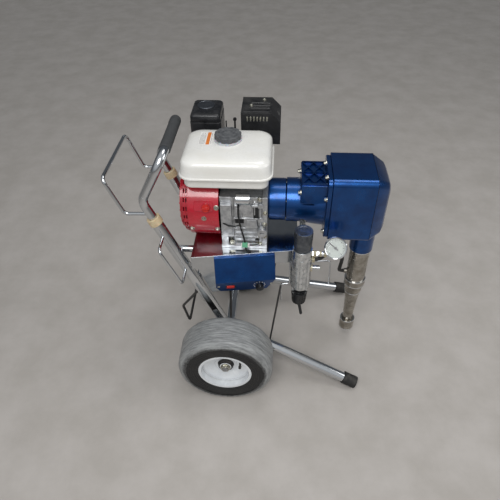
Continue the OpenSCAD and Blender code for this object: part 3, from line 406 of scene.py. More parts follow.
def solid_turned(profile, place, steps=32):
    """A turned solid: the profile starts and ends on the axis."""
    verts, faces, n = [], [], len(profile) - 2
    for i in range(steps):
        a = 2 * math.pi * i / steps
        verts += [place @ Vector((r * math.cos(a), r * math.sin(a), h)) for r, h in profile[1:-1]]
    first, last = len(verts), len(verts) + 1
    verts += [place @ Vector((0, 0, profile[0][1])), place @ Vector((0, 0, profile[-1][1]))]
    for i in range(steps):
        j = (i + 1) % steps
        faces += [(i * n + k, j * n + k, j * n + k + 1, i * n + k + 1) for k in range(n - 1)]
        faces += [(first, j * n, i * n), (last, i * n + n - 1, j * n + n - 1)]
    return verts, faces


def ringed(rings, closed_ends=True):
    """Skins rings of equal length; each ring is a list of points."""
    n = len(rings[0])
    verts = [p for ring in rings for p in ring]
    faces = []
    for a in range(len(rings) - 1):
        faces += [(a * n + k, a * n + (k + 1) % n, (a + 1) * n + (k + 1) % n, (a + 1) * n + k)
                  for k in range(n)]
    if closed_ends:
        faces += [tuple(range(n))[::-1], tuple(range((len(rings) - 1) * n, len(rings) * n))]
    return verts, faces


def gathered(name, parts, crease=35):
    """One piece from several (vertices, faces) parts."""
    verts, faces = [], []
    for vs, fs in parts:
        base = len(verts)
        verts += vs
        faces += [tuple(i + base for i in f) for f in fs]
    return mesh_piece(name, verts, faces, crease)


def detail(name, parts, skin, node, body="cart", crease=35, rounded=0):
    """A small visual piece, gathered from parts, that rides a body in a CAD node's slot."""
    piece = gathered(name, parts, crease)
    if rounded:
        edged(piece, rounded)
    return settle(piece, skin, body, slots[node])


def box_at(x, y, z, size, lift):
    """A box on the engine, from its corner and its size in millimetres."""
    return slab(*mm((0, 0, 0), size), Matrix.Translation(at(x, y, z)), lift * MM)


def slab(low, high, place=Matrix(), lift=0.0):
    """A box between two corners in place's frame; lift pulls its top face in on all sides."""
    (a, b, c), (d, e, f) = low, high
    corners = [(a, b, c), (d, b, c), (d, e, c), (a, e, c), (a + lift, b + lift, f),
               (d - lift, b + lift, f), (d - lift, e - lift, f), (a + lift, e - lift, f)]
    return [place @ Vector(p) for p in corners], [(3, 2, 1, 0), (4, 5, 6, 7), (0, 1, 5, 4), (1, 2, 6, 5),
        (2, 3, 7, 6), (3, 0, 4, 7)]


def screw_head(place, across, high, flange=0.0, sunk=0.0):
    """A hexagon head with a chamfered top on a washer; across its flats, in metres."""
    r = across / math.sqrt(3)
    parts = []
    if flange:
        parts.append(solid_turned([(0, -sunk), (flange, -sunk), (flange, 0.25 * high),
            (flange * 0.94, 0.3 * high), (0, 0.3 * high)], place, 24))
    hexed = [[place @ Vector((q * r * math.cos(math.pi * k / 3), q * r * math.sin(math.pi * k / 3), h))
              for k in range(6)] for q, h in ((1, -sunk), (1, high * 0.82), (0.88, high), (0.5, high),
                  (0.42, high * 0.8))]
    parts.append(ringed(hexed))
    return parts


def tube_along(points, radius, sides=12):
    """A round tube along points."""
    points = [Vector(p) for p in points]
    rings, last = [], None
    for i, p in enumerate(points):
        ahead = (points[min(i + 1, len(points) - 1)] - points[max(i - 1, 0)]).normalized()
        if last is None:
            last = (X if abs(ahead.x) < 0.9 else Y)
        side = (last - ahead * last.dot(ahead)).normalized()
        last = side
        other = ahead.cross(side)
        rings.append([p + (side * math.cos(2 * math.pi * k / sides) + other
            * math.sin(2 * math.pi * k / sides)) * radius for k in range(sides)])
    return ringed(rings)


def weld_bead(centre, axis, radius, width, seed):
    """A rippled weld bead round a tube."""
    place, rings = stand(centre, axis), []
    for i in range(72):
        a = 2 * math.pi * i / 72
        swell = width * (1 + 0.22 * math.sin(i * 2 * math.pi / 4 + seed) + 0.15
            * noise.noise(Vector((i * 0.7, seed, 0))))
        rings.append([place @ Vector(((radius + swell * math.cos(t)) * math.cos(a),
            (radius + swell * math.cos(t)) * math.sin(a), swell * math.sin(t)))
                      for t in [2 * math.pi * k / 8 for k in range(8)]])
    return ringed(rings + [rings[0]], False)


def rounded_ring(half_x, half_y, corner, centre, z, per_corner=9):
    """A rounded rectangle of points at height z."""
    ring = []
    for sx, sy, start in ((1, 1, 0), (-1, 1, 90), (-1, -1, 180), (1, -1, 270)):
        for k in range(per_corner):
            a = math.radians(start + 90 * k / (per_corner - 1))
            ring.append(Vector((centre.x + sx * (half_x - corner) + corner * math.cos(a),
                                centre.y + sy * (half_y - corner) + corner * math.sin(a), z)))
    return ring


# ---- CAD pieces whose shape is right: rounded edges and their own finish ----

for nodes, skin, width in [
    (("frame_tubes", "front_legs", "cross_members"), chrome_plate, 0.6),
    (("handle_tube", "hose_rack", "wire_hooks"), chrome_plate, 0.0),
    (("rear_hook_rod", "brace_rods"), black_rod_paint, 0.0),
    (("axle",), turned_steel, 0.8),
    (("axle_nuts", "engine_bolts"), zinc_plate, 0.7),
    (("handle_collars",), cast_nylon, 1.2),
    (("rubber_feet",), moulded_rubber, 1.8),
    (("platform",), polished_stainless, 0.9),
    (("right_rim", "left_rim"), white_stove_enamel, 0.8),
    (("right_bushes", "left_bushes"), sintered_bronze, 0.5),
    (("crankcase",), die_cast_aluminium, 1.0),
    (("cylinder_head",), die_cast_aluminium, 0.6),
    (("carburettor",), die_cast_aluminium, 0.6),
    (("spark_plug",), moulded_rubber, 0.6),
    (("fan_shroud",), crimson_enamel, 1.6),
    (("recoil_cover",), crimson_enamel, 0.9),
    (("fuel_cap",), cap_nylon, 1.2),
    (("muffler",), heat_proof_black, 0.9),
    (("throttle_lever", "choke_lever", "drain_valve"), black_abs, 0.5),
    (("engine_switch",), red_abs, 0.5),
    (("starter_grip",), black_abs, 0.8),
    (("oil_cap",), die_cast_aluminium, 0.7),
    (("clutch_housing", "drive_housing", "front_cover"), blue_flake_lacquer, 1.4),
    (("control_box",), blue_flake_lacquer, 1.2),
    (("pump_cylinder", "intake_valve"), turned_stainless, 0.8),
    (("filter_body",), machined_aluminium, 0.8),
    (("filter_cap",), grey_anodising, 1.0),
    (("pressure_gauge",), hard_chrome, 0.6),
    (("rocker_switch",), red_abs, 0.5),
    (("pressure_knob",), black_abs, 0.7),
]:
    for node in nodes:
        softened(node, skin, width)

for node, skin in [("crankshaft", turned_steel), ("flywheel", grey_iron), ("pinion", turned_steel),
        ("drive_gear", turned_steel), ("connecting_rod", turned_steel), ("pump_rod", hard_chrome),
        ("filter_element", steel_gauze), ("gauge_needle", black_ink), ("pressure_hose", hose_rubber),
        ("sensor_cable", vinyl_sleeve)]:
    shown = frame["nodes"][node]
    shown.data.materials.clear()
    shown.data.materials.append(skin)


# ---- Weld beads where the cross bar and the axle housing meet the frame tubes ----

beads = []
for side in (-1, 1):
    beads.append(weld_bead(at(-86.9, side * 98.5, 360), Y, 9.6 * MM, 1.8 * MM, 2 + side))
    beads.append(weld_bead(at(0, side * 97.5, 145), Y, 16.6 * MM, 2.2 * MM, 7 + side))
    beads.append(weld_bead(at(0, side * 132.5, 145), Y, 16.6 * MM, 2.2 * MM, 11 + side))
detail("weld_beads", beads, turned_steel, "cross_members", crease=60)


# ---- Handle grip: foam tube with rolled ends and slack waves ----

grip_low, grip_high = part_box("handle_grip")
grip_r = (grip_high.z - grip_low.z) / 2
grip_len = grip_high.y - grip_low.y
tube_hold = 12.5 * MM
waves = 60
outer = [(grip_r - 0.5 * MM + 0.5 * MM * noise.noise(Vector((k * 0.35, 3, 0))),
          3 * MM + (grip_len - 6 * MM) * k / waves) for k in range(waves + 1)]
profile = [(tube_hold, 0.0), (grip_r - 2.5 * MM, 0.0), (grip_r - 0.9 * MM, 1 * MM)] + outer + [
    (grip_r - 0.9 * MM, grip_len - 1 * MM), (grip_r - 2.5 * MM, grip_len), (tube_hold, grip_len)]
grip = gathered("grip_foam",
                [turned(profile, stand((middle("handle_grip").x, grip_low.y, middle("handle_grip").z), Y),
                        40)], 50)
settle(grip, foam_rubber, "handle", slots["handle_grip"], "handle_grip")
# The foam runs on round the far bend
corner = Vector((middle("handle_grip").x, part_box("handle_tube")[1].y - tube_hold, middle("handle_grip").z))
down = (at(-208.5, 0, 661) - at(-140, 0, 788)).normalized()
bend = 42 * MM
turn_at = corner + (down - Y) * bend
curve = [turn_at - down * bend * math.cos(math.radians(a)) + Y * bend * math.sin(math.radians(a))
         for a in range(-3, 73, 5)]
detail("grip_bend", [tube_along(curve, grip_r - 0.3 * MM, 32)], foam_rubber, "handle_grip", "handle",
       crease=50)


# ---- Wheels ----

def wheel_set(side):
    spin = joints[side + "_wheel_spin"]
    centre = Vector(spin["pos_m"])
    out = -Y if side == "right" else Y
    place = stand(centre, out, X)
    low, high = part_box(side + "_tyre")
    tread_r, half_w = (high.z - low.z) / 2, (high.y - low.y) / 2
    bead_r = 76 * MM
    shoulder = 22 * MM

    # Tyre: ribbed sidewalls, a rounded shoulder and grooves round the tread
    outline = [(bead_r, -half_w + 20 * MM), (bead_r, -half_w + 12 * MM),
               (bead_r + 3 * MM, -half_w + 5 * MM), (bead_r + 8 * MM, -half_w + 1.4 * MM)]
    for k in range(12):
        r = bead_r + 10 * MM + k * 2.4 * MM
        outline.append((r, -half_w + (0.3 if k % 3 else 1.6) * MM))
    for k in range(1, 9):
        a = math.pi / 2 * k / 9
        outline.append((tread_r - shoulder + shoulder * math.sin(a),
                        -half_w + shoulder * (1 - math.cos(a))))
    flat = 2 * (half_w - shoulder)
    grooves = [(tread_r, -half_w + shoulder)]
    for k in range(4):
        h = -half_w + shoulder + flat * (k + 0.5) / 4
        grooves += [(tread_r, h - 3.2 * MM), (tread_r - 4 * MM, h - 2.2 * MM),
                    (tread_r - 4 * MM, h + 2.2 * MM), (tread_r, h + 3.2 * MM)]
    profile = outline + grooves + [(r, -h) for r, h in reversed(outline)]
    inner = [(bead_r + 6 * MM, half_w - 22 * MM), (tread_r - 12 * MM, half_w - 24 * MM),
             (tread_r - 12 * MM, -half_w + 24 * MM), (bead_r + 6 * MM, -half_w + 22 * MM)]
    tyre = gathered(side + "_tyre_ribbed", [turned(profile + inner, place, 96)], 28)
    settle(tyre, tyre_rubber, side + "_wheel", slots[side + "_tyre"], side + "_tyre")

    # Film: one skin over tread and shoulders, drawn in at ragged edges, creased across by the winding
    wrap_low, wrap_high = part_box(side + "_tyre_wrap")
    film_r, film_half = (wrap_high.z - wrap_low.z) / 2, (wrap_high.y - wrap_low.y) / 2
    film_thick, lap = 1.5 * MM, 3 * MM
    round_r = shoulder + film_thick
    steps, across = 240, 46
    seed = 11.0 if side == "right" else 37.0
    rings = []
    arc = round_r * math.pi / 2
    half_run = film_half - round_r
    for i in range(steps):
        a = 2 * math.pi * i / steps
        turn = Vector((math.cos(a), math.sin(a), 0)) * 3.2
        reach = [max(0.4 * MM, lap + 3.5 * MM * noise.noise(turn * 0.5 * s + Vector((seed, s, 0)))
                     + 2.5 * MM * noise.noise(turn * 3.1 * s)) for s in (1.0, 1.3)]
        ring = []
        ends = [half_run + arc + reach[0], half_run + arc + reach[1]]
        for k in range(across + 1):
            s = -ends[0] + (ends[0] + ends[1]) * k / across
            run, sign = abs(s), (1 if s > 0 else -1)
            if run <= half_run:
                r, h = film_r, run
            elif run <= half_run + arc:
                t = (run - half_run) / round_r
                r, h = film_r - round_r * (1 - math.cos(t)), half_run + round_r * math.sin(t)
            else:
                r, h = film_r - round_r - (run - half_run - arc), film_half
            pleat = noise.noise(Vector((math.cos(a) * 9, math.sin(a) * 9, s * 30 + seed)))
            winding = noise.noise(Vector((math.cos(a) * 2.2, math.sin(a) * 2.2, s * 240 + seed)))
            crumple = noise.noise(Vector((math.cos(a) * 22, math.sin(a) * 22, s * 150)))
            edge = min(1.0, max(0.0, (run - half_run - 0.3 * arc) / (24 * MM)))
            sink = (0.7 + 0.35 * pleat + 0.9 * winding) * MM + edge * 1.3 * crumple * MM
            sink = min(max(sink, 0.05 * MM), 1.35 * MM)
            if run <= half_run + arc:
                t = max(0.0, (run - half_run) / round_r)
                r, h = r - sink * math.cos(t), h - sink * math.sin(t)
            else:
                h -= sink
            ring.append(place @ Vector((r * math.cos(a), r * math.sin(a), sign * h)))
        rings.append(ring)
    verts = [p for ring in rings for p in ring]
    n = across + 1
    faces = [(i * n + k, ((i + 1) % steps) * n + k, ((i + 1) % steps) * n + k + 1, i * n + k + 1)
             for i in range(steps) for k in range(across)]
    film = mesh_piece(side + "_film", verts, faces, 60)
    settle(film, stretch_film, side + "_wheel", slots[side + "_tyre_wrap"], side + "_tyre_wrap")

    # Valve stem through the rim's face, and a weld line round the rim's dish
    valve = place @ Matrix.Translation((46 * MM, 24 * MM, 26 * MM))
    detail(side + "_valve",
           [solid_turned(mm((0, -6), (4.5, -6), (4.5, 4), (3.6, 6), (3.2, 16), (4.2, 16.5), (4.2, 24),
               (3.4, 25), (0, 25)), valve, 20)], moulded_rubber, side + "_tyre", side + "_wheel")
    detail(side + "_rim_bead", [turned(mm((70.5, 30.4), (72, 31.6), (73.2, 30.2), (72, 28.6)), place, 64),
        turned(mm((33, 18.6), (35.5, 21.6), (38, 21.6), (37, 18.6)), place, 48)], white_stove_enamel,
           side + "_rim", side + "_wheel")
    detail(side + "_hub_shadow_ring",
           [turned(mm((18.1, 30), (22, 29), (25, 19.5), (18.1, 18.5)), place, 40)], moulded_rubber,
           side + "_bushes", side + "_wheel")


wheel_set("right")
wheel_set("left")


# ---- Fuel tank: two pressed halves with a rolled seam, a near-upright side and a crowned top ----

tank_low, tank_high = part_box("fuel_tank")
half_x, half_y = (tank_high.x - tank_low.x) / 2, (tank_high.y - tank_low.y) / 2
tank_mid = (tank_low + tank_high) / 2
seam = tank_low.z + 33 * MM
cap = middle("fuel_cap")
rows = [(20, -32.9, 22), (14, -32.4, 24), (11.5, -30, 26), (11, -26, 26), (11, -6, 27), (10.5, -3.2, 28),
        (6, -3, 30), (1, -3, 34), (0, -2, 34), (0, 1.6, 34), (1, 2.9, 34), (2.6, 3.4, 34), (3.4, 6, 34),
        (4.6, 18, 35), (5.8, 30, 35), (7.2, 34.6, 35), (10, 38.8, 36), (14, 41.8, 36), (20, 44.2, 35),
        (30, 46, 33), (46, 47.4, 30), (62, 48.1, 25), (80, 48.4, 16)]
rings = [rounded_ring(half_x - s * MM, half_y - s * MM, max(c - s * 0.25, 6) * MM, tank_mid,
    seam + z * MM, 12) for s, z, c in rows]
tank = gathered("tank_body", [ringed(rings)], 40)
settle(tank, tank_enamel, "cart", slots["fuel_tank"], "fuel_tank")
detail("tank_neck",
       [turned(mm((19, 44), (35, 44), (38, 48.6), (34, 49.4), (19, 50)),
               Matrix.Translation((cap.x, cap.y, seam)), 48)], tank_enamel, "fuel_tank")
detail("cap_skirt",
       [turned(mm((26, 47), (35, 47), (36.2, 48.4), (36.4, 52.6), (35.6, 54.3), (26, 54.3)),
               Matrix.Translation((cap.x, cap.y, seam)), 64)], pale_polythene, "fuel_tank")
cap_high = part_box("fuel_cap")[1]
detail("cap_rings",
       [turned(mm((r, -0.4), (r + 0.4, 1.1), (r + 1.8, 1.1), (r + 2.2, -0.4)),
               Matrix.Translation((cap.x, cap.y, cap_high.z)), 48) for r in (13, 24)], cap_nylon,
       "fuel_cap", "fuel_cap")


def on_tank(x0, x1, y0, y1, lift):
    """A thin patch that lies on the tank's crowned top."""
    verts, faces, n = [], [], 9
    for i in range(n):
        for k in range(n):
            p = Vector((x0 + (x1 - x0) * i / (n - 1), y0 + (y1 - y0) * k / (n - 1), 0))
            inset = min(half_x - abs(p.x - tank_mid.x), half_y - abs(p.y - tank_mid.y)) / MM
            table = [(s, z) for s, z, c in rows[12:]]
            h = table[-1][1]
            for (s0, z0), (s1, z1) in zip(table, table[1:]):
                if s0 <= inset <= s1:
                    h = z0 + (z1 - z0) * (inset - s0) / (s1 - s0)
            verts.append(Vector((p.x, p.y, seam + (h + lift) * MM)))
    for i in range(n - 1):
        for k in range(n - 1):
            faces.append((i * n + k, (i + 1) * n + k, (i + 1) * n + k + 1, i * n + k + 1))
    return verts, faces


# A plain label beside the cap: an orange bar and an outlined white panel with blank rules
strip_x = cap.x - 60 * MM
strip_y = cap.y - 30 * MM
detail("label_panel", [on_tank(strip_x - 16 * MM, strip_x + 20 * MM, strip_y, strip_y + 72 * MM, 0.35)],
       label_paper, "fuel_tank")
detail("label_bar",
       [on_tank(strip_x + 4 * MM, strip_x + 13 * MM, strip_y + 3 * MM, strip_y + 69 * MM, 0.6)],
       orange_print, "fuel_tank")
detail("label_rules",
       [on_tank(strip_x + x * MM, strip_x + (x + 0.7) * MM, strip_y + 4 * MM,
                strip_y + (66 if k % 2 else 54) * MM, 0.6) for k,
        x in enumerate((-13, -10, -7, -4, -1, 16))], cap_nylon, "fuel_tank")


# ---- Air cleaner: a deep moulded box with a softly crowned lid and a plain round badge ----

air_low, air_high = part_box("air_cleaner")
air_mid = (air_low + air_high) / 2
lid_top = air_high.z - 6 * MM
hx, hy = (air_high.x - air_low.x) / 2, (air_high.y - air_low.y) / 2
split = air_low.z + 65 * MM
rows_air = [(1.5, air_low.z, 9), (0, air_low.z + 1.5 * MM, 10), (0, split - 1.5 * MM, 10),
            (1.4, split - 0.4 * MM, 10), (3, split, 10), (3, split + 2 * MM, 10),
            (1.6, split + 2.6 * MM, 10), (0.8, split + 4 * MM, 10), (1.2, lid_top - 8 * MM, 10),
            (2.4, lid_top - 4 * MM, 10), (5, lid_top - 1.4 * MM, 10), (9, lid_top - 0.2 * MM, 9),
            (14, lid_top, 7)]
air = gathered("air_box",
               [ringed([rounded_ring(hx - s * MM, hy - s * MM, c * MM, air_mid, z, 8) for s, z,
                        c in rows_air])], 40)
settle(air, black_abs, "cart", slots["air_cleaner"], "air_cleaner")
badge_at = Vector((air_low.x + 40 * MM, air_low.y + 62 * MM, lid_top))
detail("air_badge",
       [solid_turned(mm((0, -1), (25, -1), (25, 1.2), (23.6, 2.6), (22, 1.8), (9, 2.2), (0, 2.4)),
                     Matrix.Translation(badge_at), 48)], grey_anodising, "air_cleaner", crease=25)


# ---- Silencer guard: pressed ribs on top, two bright screws, bright louvres under the front edge ----

guard_low, guard_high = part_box("muffler")
top = guard_high.z
ribs = [slab((guard_low.x + 26 * MM, y, top - 0.5 * MM),
             (guard_low.x + 80 * MM, y + 5 * MM, top + 2.2 * MM), Matrix(), 1.4 * MM)
        for y in (guard_low.y + 28 * MM, guard_low.y + 44 * MM, guard_low.y + 60 * MM)]
ribs.append(slab((guard_low.x + 6 * MM, guard_low.y + 6 * MM, top - 0.5 * MM),
    (guard_low.x + 78 * MM, guard_low.y + 9 * MM, top + 1.6 * MM), Matrix(), 1 * MM))
detail("guard_ribs", ribs, heat_proof_black, "muffler")
detail("guard_louvres",
       [slab((guard_low.x + (16.2 + 9 * k) * MM, guard_low.y + 1.2 * MM, top - 25 * MM),
             (guard_low.x + (19.8 + 9 * k) * MM, guard_low.y + 2.4 * MM, top - 10 * MM))
        for k in range(7)], zinc_plate, "muffler")
screws = []
for x, y in ((27, 46), (62, 84)):
    screws += screw_head(Matrix.Translation((guard_low.x + x * MM, guard_low.y + y * MM, top)), 8 * MM,
        4 * MM, 6.5 * MM, 1 * MM)
detail("guard_screws", screws, zinc_plate, "engine_bolts")


# ---- Engine block details: cover bolts, level box, bright starter-side cylinder, wiring ----

bolts = []
for x, z in ((98, 655), (112, 612), (111, 574), (111, 532), (98, 506), (20, 506), (4, 560)):
    bolts += screw_head(stand(at(x, -89 if x > 103 else -86.5, z), -Y), 8 * MM, 6 * MM, 7 * MM, 3 * MM)
detail("case_bolts", bolts, zinc_plate, "engine_bolts")
detail("bright_barrel",
       [solid_turned(mm((0, 0), (15, 0), (15, 34), (13.5, 36), (0, 36)), stand(at(36, -93, 660), X, Z),
                     32)], hard_chrome, "crankcase")
detail("barrel_seat", [box_at(34, -92, 640, (44, 12, 16), 1.5)], die_cast_aluminium, "crankcase", rounded=1.2)
detail("foot_plate", [box_at(30, -99, 500, (66, 9, 7), 1)], pale_polythene, "crankcase", rounded=0.8)
ribs = [box_at(30, -88.5, 510 + 13 * k, (64, 5, 3), 0.8) for k in range(4)]
ribs += [box_at(x, -88.5, 604, (3, 5, 40), 0.5) for x in (58, 70, 82)]
detail("case_ribs", ribs, die_cast_aluminium, "crankcase")
detail("governor_box", [box_at(-6, -97, 580, (26, 13, 50), 2)], die_cast_aluminium, "crankcase", rounded=2.0)
flange = [box_at(96, -91, 512, (7, 6, 150), 0.8),
          box_at(28, -90, 630, (70, 6, 6), 0.8),
          box_at(58, -91, 560, (34, 7, 26), 3),
          box_at(30, -90, 596, (20, 6, 30), 2)]
for x, z in ((98, 636), (98, 590), (98, 548)):
    flange.append(solid_turned(mm((0, -2), (8, -2), (7.4, 3), (0, 3)), stand(at(x + 2, -91, z), -Y), 24))
detail("case_flange", flange, die_cast_aluminium, "crankcase", rounded=1.0)
plates = [box_at(80, -87.4, 592, (15, 3.4, 34), 0),
          box_at(30, -87.4, 574, (24, 3.4, 14), 0)]
detail("case_shadow_plates", plates, heat_proof_black, "crankcase")
oil_at = Vector(joints["oil_cap_turn"]["pos_m"])
grips = []
for k in range(12):
    a = 2 * math.pi * k / 12
    grips.append(slab(*mm((11.5, -1.3, 1.5), (14, 1.3, 7.4)),
        stand(oil_at, -Y, Vector((math.cos(a), 0, math.sin(a)))), 0.4 * MM))
detail("oil_cap_grips", grips, die_cast_aluminium, "oil_cap", "oil_cap")
plug = [slab(*mm((-9, -5, -6), (7, 5, 6)), Matrix.Translation(at(58, -108, 514)), 1 * MM)]
detail("cable_plug", plug, green_nylon, "sensor_cable", rounded=0.6)
tabs = [slab(*mm((-12, -4, -3), (-8.5, 4, 4)), Matrix.Translation(at(58, -108, 514)), 0.6 * MM),
        slab(*mm((6.5, -4, -4), (12, 4, 3)), Matrix.Translation(at(58, -108, 514)), 0.6 * MM)]
detail("cable_plug_ends", tabs, label_paper, "sensor_cable")
lead = [tube_along([at(46, -95, 575), at(30, -97, 570), at(12, -98, 572), at(-2, -97, 580)], 1.8 * MM, 8),
        tube_along([at(70, -106, 512), at(84, -100, 508), at(96, -97, 510)], 1.5 * MM, 8)]
detail("cable_branches", lead, vinyl_sleeve, "sensor_cable")


# ---- Fan shroud and recoil cover: screws, raised ribs, a hoop and a raised panel ----

crank = Vector(joints["rotor_spin"]["pos_m"])
recoil_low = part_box("recoil_cover")[0]
screws = []
for turn, along in ((200, -88), (200, -18), (160, -18), (178, -52)):
    a = math.radians(turn)
    out = Vector((0, math.cos(a), math.sin(a)))
    p = Vector((axle_x + along * MM, crank.y, crank.z)) + out * 102.6 * MM
    screws += screw_head(stand(p, out), 8 * MM, 5 * MM, 7 * MM, 2 * MM)
detail("shroud_screws", screws, zinc_plate, "engine_bolts")
ribs = []
for k in range(24):
    a = math.radians(15 * k + 7.5)
    place = stand(Vector((recoil_low.x + 9 * MM, crank.y, crank.z)), X,
                  Vector((0, math.cos(a), math.sin(a))))
    ribs.append(slab(*mm((40, -1.5, -2.4), (80, 1.5, 2)), place, 0.4 * MM))
detail("recoil_ribs", ribs, crimson_enamel, "recoil_cover")
hoop = [turned(mm((92.5, -1.5), (96.8, -1.5), (97.2, 0), (96.8, 1.5), (92.5, 1.5)),
                stand((recoil_low.x + 25 * MM, crank.y, crank.z), X), 96)]
detail("recoil_hoop", hoop, crimson_enamel, "recoil_cover")
panel_turn = math.radians(158)
panel_out = Vector((0, math.cos(panel_turn), math.sin(panel_turn)))
boss = stand(Vector((axle_x - 52 * MM, crank.y, crank.z)) + panel_out * 100 * MM, panel_out, X)
panel = gathered("shroud_panel",
    [ringed([rounded_ring(26 * MM - q, 15 * MM - q, 8 * MM, Vector((0, 0, 0)), h, 6) for q,
             h in ((0, 0.0), (0, 3.2 * MM), (1.2 * MM, 4.4 * MM))])])
panel.data.transform(boss)
settle(panel, crimson_enamel, "cart", slots["fan_shroud"])


# ---- Drive: cover bolts, diamond webs and straight ribs on the housing's neck, placed from the joint line ----

housing_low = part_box("drive_housing")[0]
joint_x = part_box("front_cover")[0].x
pad_z = crank.z + 86 * MM
webs = []
for side in (-1, 1):
    for x0, y0, x1, y1 in ((-76, 50, -46, 2), (-46, 50, -16, 2), (-76, 2, -46, 50), (-46, 2, -16, 50)):
        start, end = Vector((joint_x + x0 * MM, side * y0 * MM, pad_z)), Vector((joint_x + x1 * MM,
            side * y1 * MM, pad_z))
        along = end - start
        webs.append(slab((0, -1.6 * MM, -1 * MM), (along.length, 1.6 * MM, 5 * MM),
            stand(start, Z, along), 0.5 * MM))
for y in (-56, -2, 52):
    webs.append(slab((joint_x - 78 * MM, y * MM, pad_z - 1 * MM),
        (joint_x - 12 * MM, (y + 4) * MM, pad_z + 5.5 * MM), Matrix(), 0.6 * MM))
detail("neck_webs", webs, blue_flake_lacquer, "drive_housing")
bolts = []
for y in (-52, 52):
    bolts += screw_head(stand(Vector((joint_x - 80 * MM, y * MM, crank.z + 60 * MM)), -X, Y), 9 * MM,
        8 * MM, 7.5 * MM, 3 * MM)
for y, z in ((-66, -58), (66, -58), (-67, 50), (67, 50), (-36, 98), (36, 98)):
    bolts += screw_head(stand(Vector((joint_x - 12 * MM, y * MM, crank.z + z * MM)), -X, Y), 9 * MM,
        7 * MM, 7.5 * MM, 3 * MM)
for a in range(0, 360, 60):
    t = math.radians(a + 30)
    bolts += screw_head(stand(Vector((housing_low.x, 0.0, crank.z)) + Vector((4 * MM,
        57 * MM * math.cos(t), 57 * MM * math.sin(t))), -X, Y), 6 * MM, 5 * MM, 0, 2 * MM)
detail("drive_bolts", bolts, zinc_plate, "engine_bolts")


# ---- Pump: bright rings ----

pump_x = joints["conrod_swing"]["pos_m"][0]
axis = Matrix.Translation((pump_x, 0, 0))
rings = []
for z, r in ((296, 33.4), (274, 33.4), (236, 26.8), (94, 25), (54, 25), (419, 30.6)):
    rings.append(turned(mm((r - 3, z - 2), (r - 0.6, z - 2), (r, z - 1), (r, z + 1), (r - 0.6, z + 2),
        (r - 3, z + 2)), axis, 56))
detail("pump_rings", rings, hard_chrome, "pump_cylinder")


# ---- Filter: ringed cap top, gauge fittings, dial ----

filter_at = Vector(joints["filter_cap_turn"]["pos_m"])
cap_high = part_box("filter_cap")[1]
tops = [turned(mm((r, -1.9), (r + 0.3, -0.3), (r + 1.5, -0.3), (r + 1.8, -1.9)),
               Matrix.Translation((filter_at.x, filter_at.y, cap_high.z)), 48) for r in (4, 8.5, 13)]
knurl = []
for k in range(40):
    a = 2 * math.pi * k / 40
    place = Matrix.Translation((filter_at.x, filter_at.y, cap_high.z)) @ Matrix.Rotation(a, 4, "Z")
    knurl.append(slab(*mm((24.2, -0.9, -26), (25.1, 0.9, -6)), place, 0.0))
detail("filter_cap_rings", tops + knurl, grey_anodising, "filter_cap", "filter_cap")

needle = joints["needle_turn"]
dial_at, needle_axis = Vector(needle["pos_m"]), Vector(needle["axis"])
dial_out = -needle_axis if needle_axis.z < 0 else needle_axis
dial = stand(dial_at, dial_out, X)
gauge_r = 29 * MM
detail("dial_face",
       [solid_turned([(0, 0.05 * MM), (gauge_r - 2.2 * MM, 0.05 * MM), (gauge_r - 2.2 * MM, 0.25 * MM),
                      (0, 0.25 * MM)], dial, 48)], dial_card, "pressure_gauge")
marks = []
for k in range(25):
    a = math.radians(225 - 270 * k / 24)
    long, half = (5.5, 0.8) if k % 4 == 0 else (3, 0.45)
    marks.append(slab(*mm((25 - long, -half, 0.25), (25, half, 0.4)), dial @ Matrix.Rotation(a, 4, "Z")))
detail("dial_marks", marks, black_ink, "pressure_gauge")
turn_of = math.radians(50)
hand = [slab(*mm((-1.5, -9, 1.0), (1.5, 21, 2.4)), dial @ Matrix.Rotation(turn_of, 4, "Z"), 0.3 * MM),
        solid_turned(mm((0, 0.5), (3.6, 0.5), (3.6, 2.8), (0, 2.9)), dial, 24)]
detail("needle_hand", hand, black_ink, "gauge_needle", "needle")
detail("dial_glass",
       [solid_turned([(0, 3 * MM), (gauge_r - 2.1 * MM, 3 * MM), (gauge_r - 2.1 * MM, 3.8 * MM),
                      (0, 4.4 * MM)], dial, 48)], gauge_glass, "pressure_gauge")
detail("dial_bezel",
       [turned([(gauge_r - 1.9 * MM, 3 * MM), (gauge_r + 2 * MM, 3 * MM), (gauge_r + 2.2 * MM, 4.6 * MM),
                (gauge_r + 0.4 * MM, 6 * MM), (gauge_r - 1.9 * MM, 4.8 * MM)], dial, 72)], hard_chrome,
       "pressure_gauge")


def hex_nut(place, r, wide):
    """A chamfered hexagon; corner radius and width in millimetres."""
    return ringed([[place @ Vector((q * r * MM * math.cos(math.pi * k / 3),
        q * r * MM * math.sin(math.pi * k / 3), h * MM)) for k in range(6)] for q,
                   h in ((0.9, 0), (1, 1), (1, wide - 1), (0.9, wide))])


stem_z = dial_at.z - 22 * MM
nuts = []
for x, r, w in ((filter_at.x + 30 * MM, 9.5, 9), (filter_at.x + 46 * MM, 8.5, 7),
                (filter_at.x + 58 * MM, 9.5, 8)):
    place = stand((x, filter_at.y, stem_z), X, Z)
    nuts.append(hex_nut(place, r, w))
for z, x, r in ((456, 23, 11.5), (488, 27, 9.5)):
    place = stand((filter_at.x + x * MM, filter_at.y, z * MM), X, Z)
    nuts.append(hex_nut(place, r, 8.5))
detail("fittings", nuts, nickel_plate, "filter_body")
flutes = []
for k in range(18):
    a = 2 * math.pi * k / 18
    place = (Matrix.Translation((filter_at.x, filter_at.y, 339 * MM)) @ Matrix.Rotation(a, 4, "Z")
             @ Matrix.Translation((20.75 * MM, 0, 0)) @ Matrix.Rotation(math.atan(3.5 / 42), 4, "Y"))
    flutes.append(slab(*mm((-1.5, -1.3, -20), (1.3, 1.3, 20)), place, 0.2 * MM))
